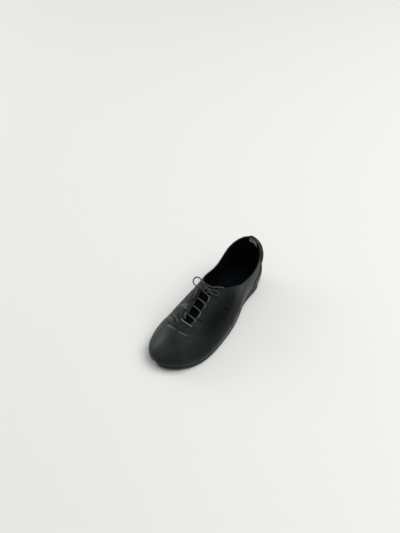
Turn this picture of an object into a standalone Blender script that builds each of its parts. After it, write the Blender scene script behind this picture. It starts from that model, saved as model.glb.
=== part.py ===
"""Lace-up jazz shoe for the left foot, standing empty on its sole.

Metres, +Z up, floor at Z = 0. The toe points to -Y, the heel to +Y, and the outer
side of the foot is +X. The pieces are made about the middle of the sole's length
and then moved together so that the origin is under the middle of the shoe.
Every piece is lofted through sections of one last, so a change of its sizes
carries through the sole, upper, tongue, insole and heel pieces.
"""
import math
from collections import namedtuple

import bmesh
import bpy
import numpy as np

# Driving dimensions
SHOE_LENGTH = 0.250
BALL_WIDTH = 0.090
INSTEP_HEIGHT = 0.068
HEEL_HEIGHT = 0.010
TOE_SPRING = 0.005
SOLE_THICKNESS = 0.0036
SOLE_EDGE_ROUND = 0.0009
UPPER_WALL = 0.0016
FEATHER_ROUND = 0.0025
BACK_HEIGHT = 0.0664
COLLAR_DIP = 0.031
SLOT_WIDTH = 0.017
SLOT_FRONT_WIDTH = 0.0145
INSOLE_THICKNESS = 0.0022
TONGUE_WALL = 0.0012
TONGUE_WIDTH = 0.044
TONGUE_TOP_WIDTH = 0.030
TONGUE_GAP = 0.0007
TONGUE_TOP_SAG = 0.0012
HEEL_INSET = 0.0012
COUNTER_WALL = 0.0010
BAND_WALL = 0.0050
BAND_HEIGHT = 0.017
BAND_DROP = 0.002
BAND_EDGE_ROUND = 0.0012
TAB_WALL = 0.0011
TAB_DEPTH_INSIDE = 0.010
LACE_DIAMETER = 0.0021
KNOT_LENGTH = 0.0090
KNOT_HEIGHT = 0.0052
GAP = 0.0003
INSOLE_GAP = 0.0019
OVERLAY_GAP = 0.0005

# Places along the length, as shares from the heel
THROAT_ALONG = 0.500
SLOT_FRONT_ALONG = 0.736
TONGUE_TOP_ALONG = 0.492
TONGUE_FRONT_ALONG = 0.790
HEEL_BREAST_ALONG = 0.285
ARCH_START_ALONG = 0.220
FOREFOOT_START_ALONG = 0.550
FOREFOOT_END_ALONG = 0.780
HEEL_FAN = 0.30
TOE_FAN = 0.62
TOE_FAN_PULL = 0.90

# Round the heel, in shares of the walk from heel to toe, outer side plus
BACK_SEAM = 0.026
COUNTER_REACH = 0.245
BAND_REACH = 0.140
TAB_REACH = 0.058

# Outline of the feather line: the ridge where the upper meets the sole
Edge = namedtuple("Edge", "along across")
FEATHER_LINE = (
    Edge(0.000, 0.000), Edge(0.025, 0.185), Edge(0.105, 0.320), Edge(0.250, 0.342),
    Edge(0.400, 0.442), Edge(0.620, 0.515), Edge(0.800, 0.490), Edge(0.930, 0.309),
    Edge(1.000, -0.035), Edge(0.955, -0.333), Edge(0.850, -0.472), Edge(0.720, -0.490),
    Edge(0.550, -0.400), Edge(0.400, -0.300), Edge(0.250, -0.290), Edge(0.105, -0.325),
    Edge(0.025, -0.195),
)

# Height of the last's crest above the feather line, in instep heights
Crest = namedtuple("Crest", "along height")
CREST_LINE = (
    Crest(0.00, 1.41), Crest(0.14, 1.38), Crest(0.30, 1.30), Crest(0.40, 1.25),
    Crest(0.46, 1.12), Crest(0.525, 0.952), Crest(0.60, 0.762), Crest(0.73, 0.600),
    Crest(0.86, 0.520), Crest(1.00, 0.335),
)

# Fullness of each section: power of its curve on the outer and the inner side, belly in
# ball widths, belly height in insteps
Fullness = namedtuple("Fullness", "along outer inner belly belly_height")
FULLNESS = (
    Fullness(0.00, 4.20, 4.20, 0.024, 0.59), Fullness(0.12, 4.00, 4.00, 0.018, 0.56),
    Fullness(0.30, 2.25, 2.25, 0.022, 0.53), Fullness(0.50, 2.00, 2.55, 0.020, 0.44),
    Fullness(0.60, 2.03, 2.95, 0.025, 0.41), Fullness(0.70, 2.08, 2.65, 0.029, 0.38),
    Fullness(0.90, 2.17, 2.08, 0.024, 0.35), Fullness(1.00, 2.20, 2.20, 0.017, 0.29),
)

# Dip of the top line below a level collar, in collar dips, by the walk from heel to throat
Dip = namedtuple("Dip", "walk outer inner")
COLLAR_LINE = (
    Dip(0.000, 0.00, 0.00), Dip(0.100, 0.17, 0.19), Dip(0.200, 0.71, 0.54),
    Dip(0.300, 1.00, 0.75), Dip(0.380, 0.78, 0.52), Dip(0.440, 0.28, 0.22),
    Dip(0.500, 0.00, 0.00),
)

# Lace crossings, as shares of the length at the middle of the slot
LACE_BARS_ALONG = (0.540, 0.583, 0.631, 0.688, 0.724)

# Lace bow: each cord's route from the knot, in metres, plus X on the outer side
KNOT_CENTRE = (-0.0034, -0.0042, 0.0708)
LACE_ROUTES = {
    "lace_loop_inner": (
        (-0.0057, -0.0023, 0.0748), (-0.0105, -0.0001, 0.0742), (-0.0147, 0.0019, 0.0733),
        (-0.0209, 0.0061, 0.0710), (-0.0268, 0.0079, 0.0689), (-0.0302, 0.0055, 0.0672),
        (-0.0302, 0.0012, 0.0648), (-0.0264, -0.0023, 0.0633), (-0.0206, -0.0052, 0.0649),
        (-0.0143, -0.0065, 0.0684), (-0.0092, -0.0061, 0.0707),
    ),
    "lace_loop_outer": (
        (0.0018, -0.0044, 0.0709), (0.0077, -0.0044, 0.0723), (0.0127, -0.0027, 0.0715),
        (0.0164, -0.0016, 0.0699), (0.0185, -0.0027, 0.0673), (0.0172, -0.0053, 0.0664),
        (0.0133, -0.0069, 0.0680), (0.0087, -0.0082, 0.0694), (0.0032, -0.0083, 0.0688),
    ),
    "lace_end_outer": (
        (-0.0068, -0.0008, 0.0721), (-0.0024, -0.0006, 0.0728), (0.0022, -0.0015, 0.0736),
        (0.0066, -0.0015, 0.0746), (0.0107, 0.0008, 0.0748), (0.0142, 0.0041, 0.0744),
        (0.0173, 0.0068, 0.0733), (0.0204, 0.0094, 0.0724),
    ),
    "lace_end_inner": (
        (-0.0026, -0.0081, 0.0698), (-0.0075, -0.0084, 0.0692), (-0.0113, -0.0085, 0.0681),
        (-0.0135, -0.0093, 0.0668), (-0.0136, -0.0121, 0.0649), (-0.0128, -0.0162, 0.0626),
        (-0.0125, -0.0196, 0.0604), (-0.0125, -0.0241, 0.0576),
    ),
}
ROUTE_STEP = 0.0022

# Facets
BACK_COLUMNS = 16
SLOT_COLUMNS = 8
TOE_COLUMNS = 13
HEEL_COLUMNS = 11
COUNTER_COLUMNS = 25
COUNTER_ROWS = 6
BAND_COLUMNS = 19
BAND_ROWS = 5
TAB_COLUMNS = 9
TONGUE_COLUMNS = 11
TONGUE_ROWS = 13
BAR_POINTS = 6
RAIL_POINTS = 17
KNOT_SEGMENTS = 16
WALL_ROWS = 11
VAMP_ROWS = 3
ROW_SPREAD = 1.2
TUCK_MIDDLE = 0.35
CREST_MERGE = 4

# Steps of the working-out: samples of the outline, finite differences, halvings and merging
EDGE_SAMPLES = 4001
CHORD_POWER = 0.75
WALK_STEP = 0.004
CLIMB_STEP = 0.006
LOWEST_CLIMB = 0.02
HIGHEST_CLIMB = 0.999
HALVINGS = 32
MERGE = 1e-6

Finish = namedtuple("Finish", "colour roughness metallic")
FINISHES = {
    "black_leather": Finish((0.018, 0.020, 0.020), 0.42, 0.0),
    "sole_leather": Finish((0.012, 0.012, 0.012), 0.45, 0.0),
    "black_rubber": Finish((0.010, 0.010, 0.010), 0.65, 0.0),
    "lining_fabric": Finish((0.010, 0.012, 0.018), 0.90, 0.0),
    "black_lace": Finish((0.030, 0.031, 0.033), 0.55, 0.0),
}


def column(rows, name):
    """One named column of a table as an array."""
    return np.array([getattr(row, name) for row in rows], float)


def smooth_curve(knots, values, closed=False):
    """Cubic through the values at the knots, natural at its ends or closed on itself."""
    knots = np.asarray(knots, float)
    values = np.asarray(values, float)
    count = len(knots)
    steps = np.diff(knots)
    rise = (np.diff(values, axis=0).T / steps).T
    system = np.zeros((count, count))
    right = np.zeros_like(values)
    for i in range(1, count - 1):
        system[i, i - 1] = 1.0 / steps[i - 1]
        system[i, i] = 2.0 / steps[i - 1] + 2.0 / steps[i]
        system[i, i + 1] = 1.0 / steps[i]
        right[i] = 3.0 * (rise[i - 1] / steps[i - 1] + rise[i] / steps[i])
    if closed:
        system[0, 0] = 2.0 / steps[0] + 2.0 / steps[-1]
        system[0, 1] = 1.0 / steps[0]
        system[0, count - 2] = 1.0 / steps[-1]
        right[0] = 3.0 * (rise[0] / steps[0] + rise[-1] / steps[-1])
        system[-1, 0] = 1.0
        system[-1, -1] = -1.0
    else:
        system[0, 0], system[0, 1] = 2.0, 1.0
        system[-1, -1], system[-1, -2] = 2.0, 1.0
        right[0] = 3.0 * rise[0]
        right[-1] = 3.0 * rise[-1]
    slopes = np.linalg.solve(system, right)

    def at(where):
        where = np.asarray(where, float)
        i = np.clip(np.searchsorted(knots, where) - 1, 0, count - 2)
        t = (where - knots[i]) / steps[i]
        step = steps[i]
        if values.ndim > 1:
            t = t[..., None]
            step = step[..., None]
        start = (1 + 2 * t) * (1 - t) ** 2 * values[i] + t * (1 - t) ** 2 * step * slopes[i]
        end = t * t * (3 - 2 * t) * values[i + 1] - t * t * (1 - t) * step * slopes[i + 1]
        return start + end

    return at


def feather_sides():
    """The feather line's reach across, by the walk from heel to toe, on its two sides."""
    corners = np.stack([(0.5 - column(FEATHER_LINE, "along")) * SHOE_LENGTH,
                        column(FEATHER_LINE, "across") * BALL_WIDTH], axis=1)
    corners = np.vstack([corners, corners[:1]])
    chords = np.linalg.norm(np.diff(corners, axis=0), axis=1)
    knots = np.concatenate([[0.0], np.cumsum(chords ** CHORD_POWER)])
    line = smooth_curve(knots, corners, closed=True)(np.linspace(0.0, knots[-1], EDGE_SAMPLES))
    along = (line[:, 0].max() - line[:, 0]) / np.ptp(line[:, 0])
    toe = int(np.argmax(along))
    sides = {}
    for side, part in ((1, slice(0, toe + 1)), (-1, slice(toe, None))):
        walk = np.arccos(np.clip(1.0 - 2.0 * along[part], -1.0, 1.0)) / math.pi
        across = line[part, 1]
        order = np.argsort(walk)
        sides[side] = (walk[order], across[order])
    return sides


SIDES = feather_sides()
crest_curve = smooth_curve(column(CREST_LINE, "along"), column(CREST_LINE, "height") * INSTEP_HEIGHT)
power_curves = {1: smooth_curve(column(FULLNESS, "along"), column(FULLNESS, "outer")),
                -1: smooth_curve(column(FULLNESS, "along"), column(FULLNESS, "inner"))}
belly_curve = smooth_curve(column(FULLNESS, "along"), column(FULLNESS, "belly") * BALL_WIDTH)
belly_top_curve = smooth_curve(column(FULLNESS, "along"),
                               column(FULLNESS, "belly_height") * INSTEP_HEIGHT)


def walk_of(along):
    """Walk from heel to toe, which slows at both ends, for a share of the length."""
    return math.acos(1.0 - 2.0 * along) / math.pi


THROAT_WALK = walk_of(THROAT_ALONG)


def ease(share):
    """Smooth step from 0 to 1."""
    share = np.clip(share, 0.0, 1.0)
    return share * share * (3.0 - 2.0 * share)


def sole_bottom(along):
    """Height of the sole's underside: heel, arch, flat forefoot and toe spring."""
    arch = ease((along - ARCH_START_ALONG) / (FOREFOOT_START_ALONG - ARCH_START_ALONG))
    lift = np.clip((along - FOREFOOT_END_ALONG) / (1.0 - FOREFOOT_END_ALONG), 0.0, 1.0)
    return HEEL_HEIGHT * (1.0 - arch) + TOE_SPRING * lift ** 2


def feather_height(along):
    """Height of the line where the upper meets the sole."""
    return sole_bottom(along) + SOLE_THICKNESS + GAP


def spine_along(along):
    """Where a section's rib ends on the crest: ribs fan out round heel and toe."""
    past = np.maximum(along - TOE_FAN, 0.0)
    short = np.maximum(HEEL_FAN - along, 0.0)
    fore = TOE_FAN_PULL * past ** 2 / (2.0 * (1.0 - TOE_FAN))
    return along - fore + short ** 2 / (2.0 * HEEL_FAN)


def foot_edge(walk):
    """Point of the feather line in plan; walk is plus on the outer side, minus inside."""
    walk = np.asarray(walk, float)
    along = (1.0 - np.cos(math.pi * np.abs(walk))) / 2.0
    outer = np.interp(np.abs(walk), *SIDES[1])
    inner = np.interp(np.abs(walk), *SIDES[-1])
    across = np.where(walk >= 0.0, outer, inner)
    return np.stack([across, (0.5 - along) * SHOE_LENGTH], axis=-1), along


def section_power(walk, along):
    """Power of the section's curve, on the outer or the inner side."""
    return np.where(walk >= 0.0, power_curves[1](along), power_curves[-1](along))


def edge_outward(walk):
    """Outward direction of the feather line in plan."""
    walk = np.asarray(walk, float)
    ahead, _ = foot_edge(walk_wrap(walk + WALK_STEP))
    behind, _ = foot_edge(walk_wrap(walk - WALK_STEP))
    run = ahead - behind
    run = run / np.linalg.norm(run, axis=-1, keepdims=True)
    return np.stack([-run[..., 1], run[..., 0]], axis=-1)


def walk_wrap(walk):
    """Keep a walk within one round of the foot."""
    return (walk + 1.0) % 2.0 - 1.0


def last_point(walk, climb):
    """Point of the last's outside; climb goes from 0 at the sole to 1 at the crest."""
    walk, climb = np.broadcast_arrays(np.asarray(walk, float), np.asarray(climb, float))
    edge, along = foot_edge(walk)
    crest = np.stack([0.0 * along, (0.5 - spine_along(along)) * SHOE_LENGTH], axis=-1)
    power = section_power(walk, along)
    angle = climb * math.pi / 2.0
    reach = np.maximum(np.cos(angle), 0.0) ** (2.0 / power)
    rise = np.maximum(np.sin(angle), 0.0) ** (2.0 / power)
    plan = edge * reach[..., None] + crest * (1.0 - reach[..., None])
    own_along = np.clip(0.5 - plan[..., 1] / SHOE_LENGTH, 0.0, 1.0)
    base = feather_height(along)
    height = (feather_height(own_along) + crest_curve(own_along) - base) * rise
    outward = edge - crest
    outward = outward / np.linalg.norm(outward, axis=-1, keepdims=True)
    swell = np.sin(math.pi * np.clip(height / belly_top_curve(along), 0.0, 1.0)) ** 2
    tuck_height = np.clip(FEATHER_ROUND - height, 0.0, FEATHER_ROUND)
    tuck = FEATHER_ROUND - np.sqrt(FEATHER_ROUND ** 2 - tuck_height ** 2)
    shift = belly_curve(along) * swell * reach - tuck
    plan = plan + outward * shift[..., None]
    return np.concatenate([plan, (base + height)[..., None]], axis=-1)


def last_outward(walk, climb):
    """Outward direction of the last's surface."""
    climb = np.maximum(climb, LOWEST_CLIMB)
    across = last_point(walk_wrap(walk + WALK_STEP), climb) - last_point(walk_wrap(walk - WALK_STEP), climb)
    upward = last_point(walk, climb + CLIMB_STEP) - last_point(walk, climb - CLIMB_STEP)
    normal = np.cross(upward, across)
    return normal / np.linalg.norm(normal, axis=-1, keepdims=True)


def shell_point(walk, climb, lift):
    """Point of the last moved outwards by lift, or inwards where lift is minus."""
    walk, climb = np.broadcast_arrays(np.asarray(walk, float), np.asarray(climb, float))
    return last_point(walk, climb) + last_outward(walk, climb) * np.asarray(lift, float)[..., None]


def climb_to_height(walk, height):
    """Climb at which a rib reaches a height above the feather line."""
    walk = np.asarray(walk, float)
    _, along = foot_edge(walk)
    target = feather_height(along) + height
    low, high = np.zeros_like(walk), np.ones_like(walk)
    for _ in range(HALVINGS):
        middle = (low + high) / 2.0
        below = last_point(walk, middle)[..., 2] < target
        low = np.where(below, middle, low)
        high = np.where(below, high, middle)
    return (low + high) / 2.0


def climb_to_side(walk, half_width):
    """Climb at which a rib comes within half_width of the centre line."""
    edge, along = foot_edge(walk)
    reach = half_width / np.abs(edge[..., 0])
    return np.arccos(reach ** (section_power(walk, along) / 2.0)) / (math.pi / 2.0)


def collar_height(walk):
    """Height of the top line above the feather line, by the signed walk."""
    size = np.abs(walk)
    corner = last_point(THROAT_WALK, climb_to_side(np.array(THROAT_WALK), SLOT_WIDTH / 2.0))
    throat = corner[2] - feather_height(THROAT_ALONG)
    level = BACK_HEIGHT + (throat - BACK_HEIGHT) * ease(size / THROAT_WALK)
    walks = column(COLLAR_LINE, "walk") * THROAT_WALK / COLLAR_LINE[-1].walk
    outer = smooth_curve(walks, column(COLLAR_LINE, "outer"))(size)
    inner = smooth_curve(walks, column(COLLAR_LINE, "inner"))(size)
    return level - COLLAR_DIP * np.where(np.asarray(walk) >= 0.0, outer, inner)


def collar_climb(walk):
    """Climb of the top line."""
    return climb_to_height(walk, collar_height(walk))


def new_object(name, bm, finish):
    """Object of a finished bmesh, with its material, in the shoe's collection."""
    bmesh.ops.remove_doubles(bm, verts=bm.verts, dist=MERGE)
    bmesh.ops.dissolve_degenerate(bm, edges=bm.edges, dist=MERGE / 10.0)
    mesh = bpy.data.meshes.new(name)
    bm.to_mesh(mesh)
    bm.free()
    mesh.shade_smooth()
    mesh.set_sharp_from_angle(angle=math.radians(40))
    obj = bpy.data.objects.new(name, mesh)
    shoe.objects.link(obj)
    mesh.materials.append(materials[finish])
    return obj


def net(rows, closed=False):
    """Bmesh of a net of points, rows by columns, whose equal corners fall together."""
    bm = bmesh.new()
    lattice = [[bm.verts.new(point) for point in row] for row in rows]
    for low, high in zip(lattice, lattice[1:]):
        count = len(low)
        for i in range(count if closed else count - 1):
            j = (i + 1) % count
            bm.faces.new((low[i], low[j], high[j], high[i]))
    return bm


def loft(sections):
    """Closed body through closed sections of equal length."""
    bm = net(sections, closed=True)
    bm.verts.ensure_lookup_table()
    count = len(sections[0])
    bm.faces.new(list(reversed(bm.verts[:count])))
    bm.faces.new(bm.verts[-count:])
    bmesh.ops.remove_doubles(bm, verts=bm.verts, dist=MERGE)
    bmesh.ops.recalc_face_normals(bm, faces=bm.faces)
    return bm


def solidify(obj, thickness, offset):
    """Give an open surface its wall."""
    wall = obj.modifiers.new("wall", "SOLIDIFY")
    wall.thickness = thickness
    wall.offset = offset
    wall.use_even_offset = True
    wall.use_quality_normals = True


def round_edges(obj, width, angle=40, segments=1):
    """Take the sharp edges off."""
    bevel = obj.modifiers.new("edges", "BEVEL")
    bevel.width = width
    bevel.segments = segments
    bevel.limit_method = "ANGLE"
    bevel.angle_limit = math.radians(angle)


def column_walks():
    """Walks of the upper's columns from heel to toe, with one at the throat and slot front."""
    front = section_walk(SLOT_FRONT_ALONG)
    back = np.linspace(0.0, THROAT_WALK, BACK_COLUMNS + 1)
    slot = np.linspace(THROAT_WALK, front, SLOT_COLUMNS + 1)[1:]
    toe = np.linspace(front, 1.0, TOE_COLUMNS + 1)[1:]
    return np.concatenate([back, slot, toe])


def section_walk(crest_along):
    """Walk of the section whose rib ends at a place along the crest."""
    low, high = 0.0, 1.0
    for _ in range(HALVINGS):
        middle = (low + high) / 2.0
        if spine_along(middle) < crest_along:
            low = middle
        else:
            high = middle
    return walk_of((low + high) / 2.0)


def slot_half(walk):
    """Half the lace slot's width at a section; it narrows toward the toe."""
    front = section_walk(SLOT_FRONT_ALONG)
    share = (np.abs(walk) - THROAT_WALK) / (front - THROAT_WALK)
    return (SLOT_WIDTH + (SLOT_FRONT_WIDTH - SLOT_WIDTH) * share) / 2.0


def make_upper():
    """Upper: one wall, open at the collar, at the lace slot and underneath."""
    walks = column_walks()
    front = BACK_COLUMNS + SLOT_COLUMNS
    spread = (np.arange(1, WALL_ROWS + 1) / WALL_ROWS) ** ROW_SPREAD
    corners = climb_to_side(np.array([walks[front], -walks[front]]), SLOT_FRONT_WIDTH / 2.0)
    toward_toe = np.linspace(0.0, 1.0, TOE_COLUMNS + 1)[1:]
    bm = bmesh.new()
    lattice = {}
    for side, corner in zip((1, -1), corners):
        signed = walks * side
        edge_climb = np.empty(len(walks))
        edge_climb[:BACK_COLUMNS] = collar_climb(signed[:BACK_COLUMNS])
        slot = signed[BACK_COLUMNS:front + 1]
        edge_climb[BACK_COLUMNS:front + 1] = climb_to_side(slot, slot_half(slot))
        edge_climb[front + 1:] = corner + (corners.mean() - corner) * toward_toe
        tucked = climb_to_height(signed, FEATHER_ROUND)
        for i, walk in enumerate(signed):
            climbs = [0.0, TUCK_MIDDLE * tucked[i], tucked[i]]
            climbs += list(tucked[i] + (edge_climb[i] - tucked[i]) * spread)
            if i >= front:
                step = (1.0 - edge_climb[i]) / VAMP_ROWS
                climbs += [edge_climb[i] + step * (k + 1) for k in range(VAMP_ROWS)]
            points = last_point(walk, np.array(climbs))
            if i > len(walks) - 1 - CREST_MERGE:
                points[-1] = last_point(1.0, 1.0)
            lattice[side, i] = [bm.verts.new(point) for point in points]
        for i in range(len(walks) - 1):
            here, ahead = lattice[side, i], lattice[side, i + 1]
            for k in range(min(len(here), len(ahead)) - 1):
                ring = (here[k], ahead[k], ahead[k + 1], here[k + 1])
                bm.faces.new(ring if side > 0 else ring[::-1])
    bmesh.ops.remove_doubles(bm, verts=bm.verts, dist=MERGE)
    bmesh.ops.recalc_face_normals(bm, faces=bm.faces)
    obj = new_object("upper", bm, "black_leather")
    solidify(obj, UPPER_WALL, -1.0)
    return obj


def sole_section(walk, rings):
    """Closed section across the sole through rings of (inset, height) on both sides."""
    points = []
    for side, order in ((1, rings), (-1, rings[::-1])):
        edge, _ = foot_edge(walk * side)
        outward = edge_outward(walk * side)
        for inset, height in order:
            plan = edge - outward * inset
            own_along = np.clip(0.5 - plan[1] / SHOE_LENGTH, 0.0, 1.0)
            points.append((plan[0], plan[1], height(own_along)))
    return points


def make_outsole():
    """Full-length sole with heel seat, arch, flat forefoot and toe spring."""
    rings = (
        (2.0 * SOLE_EDGE_ROUND, lambda a: sole_bottom(a)),
        (0.3 * SOLE_EDGE_ROUND, lambda a: sole_bottom(a) + SOLE_EDGE_ROUND),
        (0.0, lambda a: sole_bottom(a) + SOLE_THICKNESS - SOLE_EDGE_ROUND),
        (SOLE_EDGE_ROUND, lambda a: sole_bottom(a) + SOLE_THICKNESS),
    )
    sections = [sole_section(walk, rings) for walk in column_walks()]
    return new_object("outsole", loft(sections), "sole_leather")


def make_heel():
    """Low heel block under the heel seat, flat on the floor."""
    walks = np.linspace(0.0, walk_of(HEEL_BREAST_ALONG), HEEL_COLUMNS + 1)
    rings = (
        (HEEL_INSET + 2.0 * SOLE_EDGE_ROUND, lambda a: 0.0 * a),
        (HEEL_INSET + SOLE_EDGE_ROUND, lambda a: 0.0 * a + SOLE_EDGE_ROUND),
        (HEEL_INSET, lambda a: sole_bottom(a) - GAP),
    )
    sections = [sole_section(walk, rings) for walk in walks]
    return new_object("heel", loft(sections), "black_rubber")


def make_insole():
    """Sock lining board inside the upper's foot."""
    low_inset = FEATHER_ROUND + UPPER_WALL + INSOLE_GAP
    high_inset = UPPER_WALL + INSOLE_GAP
    rings = (
        (low_inset, lambda a: feather_height(a)),
        (high_inset, lambda a: feather_height(a) + INSOLE_THICKNESS),
    )
    sections = [sole_section(walk, rings) for walk in column_walks()[1:-1]]
    return new_object("insole", loft(sections), "lining_fabric")


def make_tongue():
    """Thin tongue under the lace slot, a clearance inside the upper."""
    walks = np.linspace(walk_of(TONGUE_TOP_ALONG), walk_of(TONGUE_FRONT_ALONG), TONGUE_ROWS)
    widths = np.linspace(TONGUE_TOP_WIDTH, TONGUE_WIDTH, len(walks))
    rows = []
    for walk, width in zip(walks, widths):
        sag = TONGUE_TOP_SAG * (1.0 - ease((walk - walks[0]) / (walks[-1] - walks[0]) * 2.0))
        row = []
        for x in np.linspace(-0.5, 0.5, TONGUE_COLUMNS) * width:
            side = 1.0 if x >= 0.0 else -1.0
            climb = climb_to_side(np.array(walk * side), abs(x))
            row.append(shell_point(walk * side, min(climb, HIGHEST_CLIMB), -UPPER_WALL - TONGUE_GAP - sag))
        rows.append(row)
    bm = net(rows)
    bmesh.ops.recalc_face_normals(bm, faces=bm.faces)
    upward = sum(face.normal.z for face in bm.faces)
    if upward < 0.0:
        bmesh.ops.reverse_faces(bm, faces=bm.faces)
    obj = new_object("tongue", bm, "black_leather")
    solidify(obj, TONGUE_WALL, -1.0)
    return obj


def overlay_strip(name, walks, low, high, lift, thickness, rows, finish):
    """Overlay cut between two larger forms of the upper, from one height to another."""
    lattice = []
    low_climb = climb_to_height(walks, low)
    high_climb = climb_to_height(walks, high)
    for k in range(rows + 1):
        climb = low_climb + (high_climb - low_climb) * k / rows
        lattice.append(shell_point(walks, climb, np.full(len(walks), lift)))
    bm = net(lattice)
    obj = new_object(name, outward_faces(bm), finish)
    solidify(obj, thickness, 1.0)
    return obj


def outward_faces(bm):
    """Turn an open surface round the heel so that its faces look away from the foot."""
    bm.normal_update()
    middle = (0.5 - HEEL_FAN) * SHOE_LENGTH
    away = sum(face.normal.x * face.calc_center_median().x
               + face.normal.y * (face.calc_center_median().y - middle) for face in bm.faces)
    if away < 0.0:
        bmesh.ops.reverse_faces(bm, faces=bm.faces)
    return bm


def make_counter():
    """Heel counter laid on the outside of the upper, under the heel band."""
    walks = BACK_SEAM + np.linspace(-COUNTER_REACH, COUNTER_REACH, COUNTER_COLUMNS)
    low = np.full(len(walks), FEATHER_ROUND + GAP)
    high = collar_height(walks) - BAND_DROP - BAND_HEIGHT - GAP
    return overlay_strip("heel_counter", walks, low, high, OVERLAY_GAP, COUNTER_WALL, COUNTER_ROWS,
                         "black_leather")


def make_band():
    """Padded band round the back of the collar."""
    walks = BACK_SEAM + np.linspace(-BAND_REACH, BAND_REACH, BAND_COLUMNS)
    high = collar_height(walks) - BAND_DROP
    obj = overlay_strip("heel_band", walks, high - BAND_HEIGHT, high, GAP, BAND_WALL, BAND_ROWS,
                        "black_leather")
    round_edges(obj, BAND_EDGE_ROUND)
    return obj


def make_tab():
    """Pull tab folded over the collar's back edge, down its inside."""
    walks = BACK_SEAM + np.linspace(-TAB_REACH, TAB_REACH, TAB_COLUMNS)
    inside = -UPPER_WALL - 1.5 * GAP
    top = collar_height(walks)
    over = OVERLAY_GAP
    outline = (
        (GAP, -BAND_DROP + GAP), (GAP, 0.0), (GAP, over), (inside, over), (inside, 0.0),
        (inside, -TAB_DEPTH_INSIDE / 2.0), (inside, -TAB_DEPTH_INSIDE),
        (inside - TAB_WALL, -TAB_DEPTH_INSIDE), (inside - TAB_WALL, -TAB_DEPTH_INSIDE / 2.0),
        (inside - TAB_WALL, 0.0), (inside - TAB_WALL / 2.0, over + TAB_WALL * 0.8),
        (inside / 2.0, over + TAB_WALL), (GAP + TAB_WALL / 2.0, over + TAB_WALL * 0.8),
        (GAP + TAB_WALL, 0.0), (GAP + TAB_WALL, -BAND_DROP + GAP),
    )
    rims = []
    for lift, rise in outline:
        climb = climb_to_height(walks, top + rise)
        rims.append(shell_point(walks, climb, np.full(len(walks), lift)))
    sections = [[rim[i] for rim in rims] for i in range(len(walks))]
    return new_object("heel_tab", loft(sections), "black_leather")


def make_knot():
    """Lace knot over the top of the slot."""
    bm = bmesh.new()
    bmesh.ops.create_uvsphere(bm, u_segments=KNOT_SEGMENTS, v_segments=KNOT_SEGMENTS // 2 + 2,
                              radius=0.5)
    bmesh.ops.scale(bm, vec=(KNOT_LENGTH, KNOT_HEIGHT, KNOT_HEIGHT), verts=bm.verts)
    bmesh.ops.translate(bm, vec=KNOT_CENTRE, verts=bm.verts)
    return new_object("lace_knot", bm, "black_lace")


def make_bow():
    """Loops and ends of the lace, each a tube along its own smooth route."""
    for name, route in LACE_ROUTES.items():
        corners = np.array(route)
        chords = np.linalg.norm(np.diff(corners, axis=0), axis=1)
        knots = np.concatenate([[0.0], np.cumsum(chords)])
        count = int(round(knots[-1] / ROUTE_STEP)) + 1
        points = smooth_curve(knots, corners)(np.linspace(0.0, knots[-1], count))
        cord = lace_curve(name, points, LACE_DIAMETER / 2.0)
        cord.data.materials.append(materials["black_lace"])
        shoe.objects.link(cord)


def make_lace_bars():
    """Lace crossings in the slot, joined by the runs along its outer edge."""
    radius = LACE_DIAMETER / 2.0
    inset = radius + 1.5 * GAP
    lift = radius - UPPER_WALL
    walks = [section_walk(along) for along in LACE_BARS_ALONG]
    pieces = []
    for walk in walks:
        rail = slot_half(walk) - inset
        across = [slot_point(walk, x, lift) for x in np.linspace(-rail, rail, BAR_POINTS)]
        pieces.append(tube("bar", across, radius))
    steps = np.linspace(walks[0], walks[-1], RAIL_POINTS)
    along_edge = [slot_point(walk, slot_half(walk) - inset, lift) for walk in steps]
    pieces.append(tube("rail", along_edge, radius))
    return join_bodies("lace_bars", pieces, "black_lace")


def slot_point(walk, x, lift):
    """Point in the lace slot, level with the upper's outside plus a lift."""
    side = 1.0 if x >= 0.0 else -1.0
    climb = climb_to_side(np.array(walk * side), abs(x))
    return shell_point(walk * side, climb, lift)


def lace_curve(name, points, radius):
    """Round lace with closed ends through the points."""
    curve = bpy.data.curves.new(name, "CURVE")
    curve.dimensions = "3D"
    curve.bevel_depth = radius
    curve.bevel_resolution = 2
    curve.use_fill_caps = True
    curve.render_resolution_u = 0
    spline = curve.splines.new("POLY")
    spline.points.add(len(points) - 1)
    for target, point in zip(spline.points, points):
        target.co = (*point, 1.0)
    return bpy.data.objects.new(name, curve)


def tube(name, points, radius):
    """The same lace as a mesh, for joining."""
    obj = lace_curve(name, points, radius)
    cutters.objects.link(obj)
    bpy.context.view_layer.update()
    evaluated = obj.evaluated_get(bpy.context.evaluated_depsgraph_get())
    mesh = bpy.data.meshes.new_from_object(evaluated)
    bm = bmesh.new()
    bm.from_mesh(mesh)
    bmesh.ops.remove_doubles(bm, verts=bm.verts, dist=MERGE)
    bm.to_mesh(mesh)
    bm.free()
    solid = bpy.data.objects.new(name, mesh)
    cutters.objects.link(solid)
    bpy.data.objects.remove(obj)
    return solid


def join_bodies(name, pieces, finish):
    """One body out of crossing tubes."""
    base = pieces[0]
    for other in pieces[1:]:
        union = base.modifiers.new("union", "BOOLEAN")
        union.operation = "UNION"
        union.solver = "EXACT"
        union.object = other
    bpy.context.view_layer.update()
    evaluated = base.evaluated_get(bpy.context.evaluated_depsgraph_get())
    mesh = bpy.data.meshes.new_from_object(evaluated)
    bm = bmesh.new()
    bm.from_mesh(mesh)
    mesh_object = new_object(name, bm, finish)
    for piece in pieces:
        bpy.data.objects.remove(piece)
    return mesh_object


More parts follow.
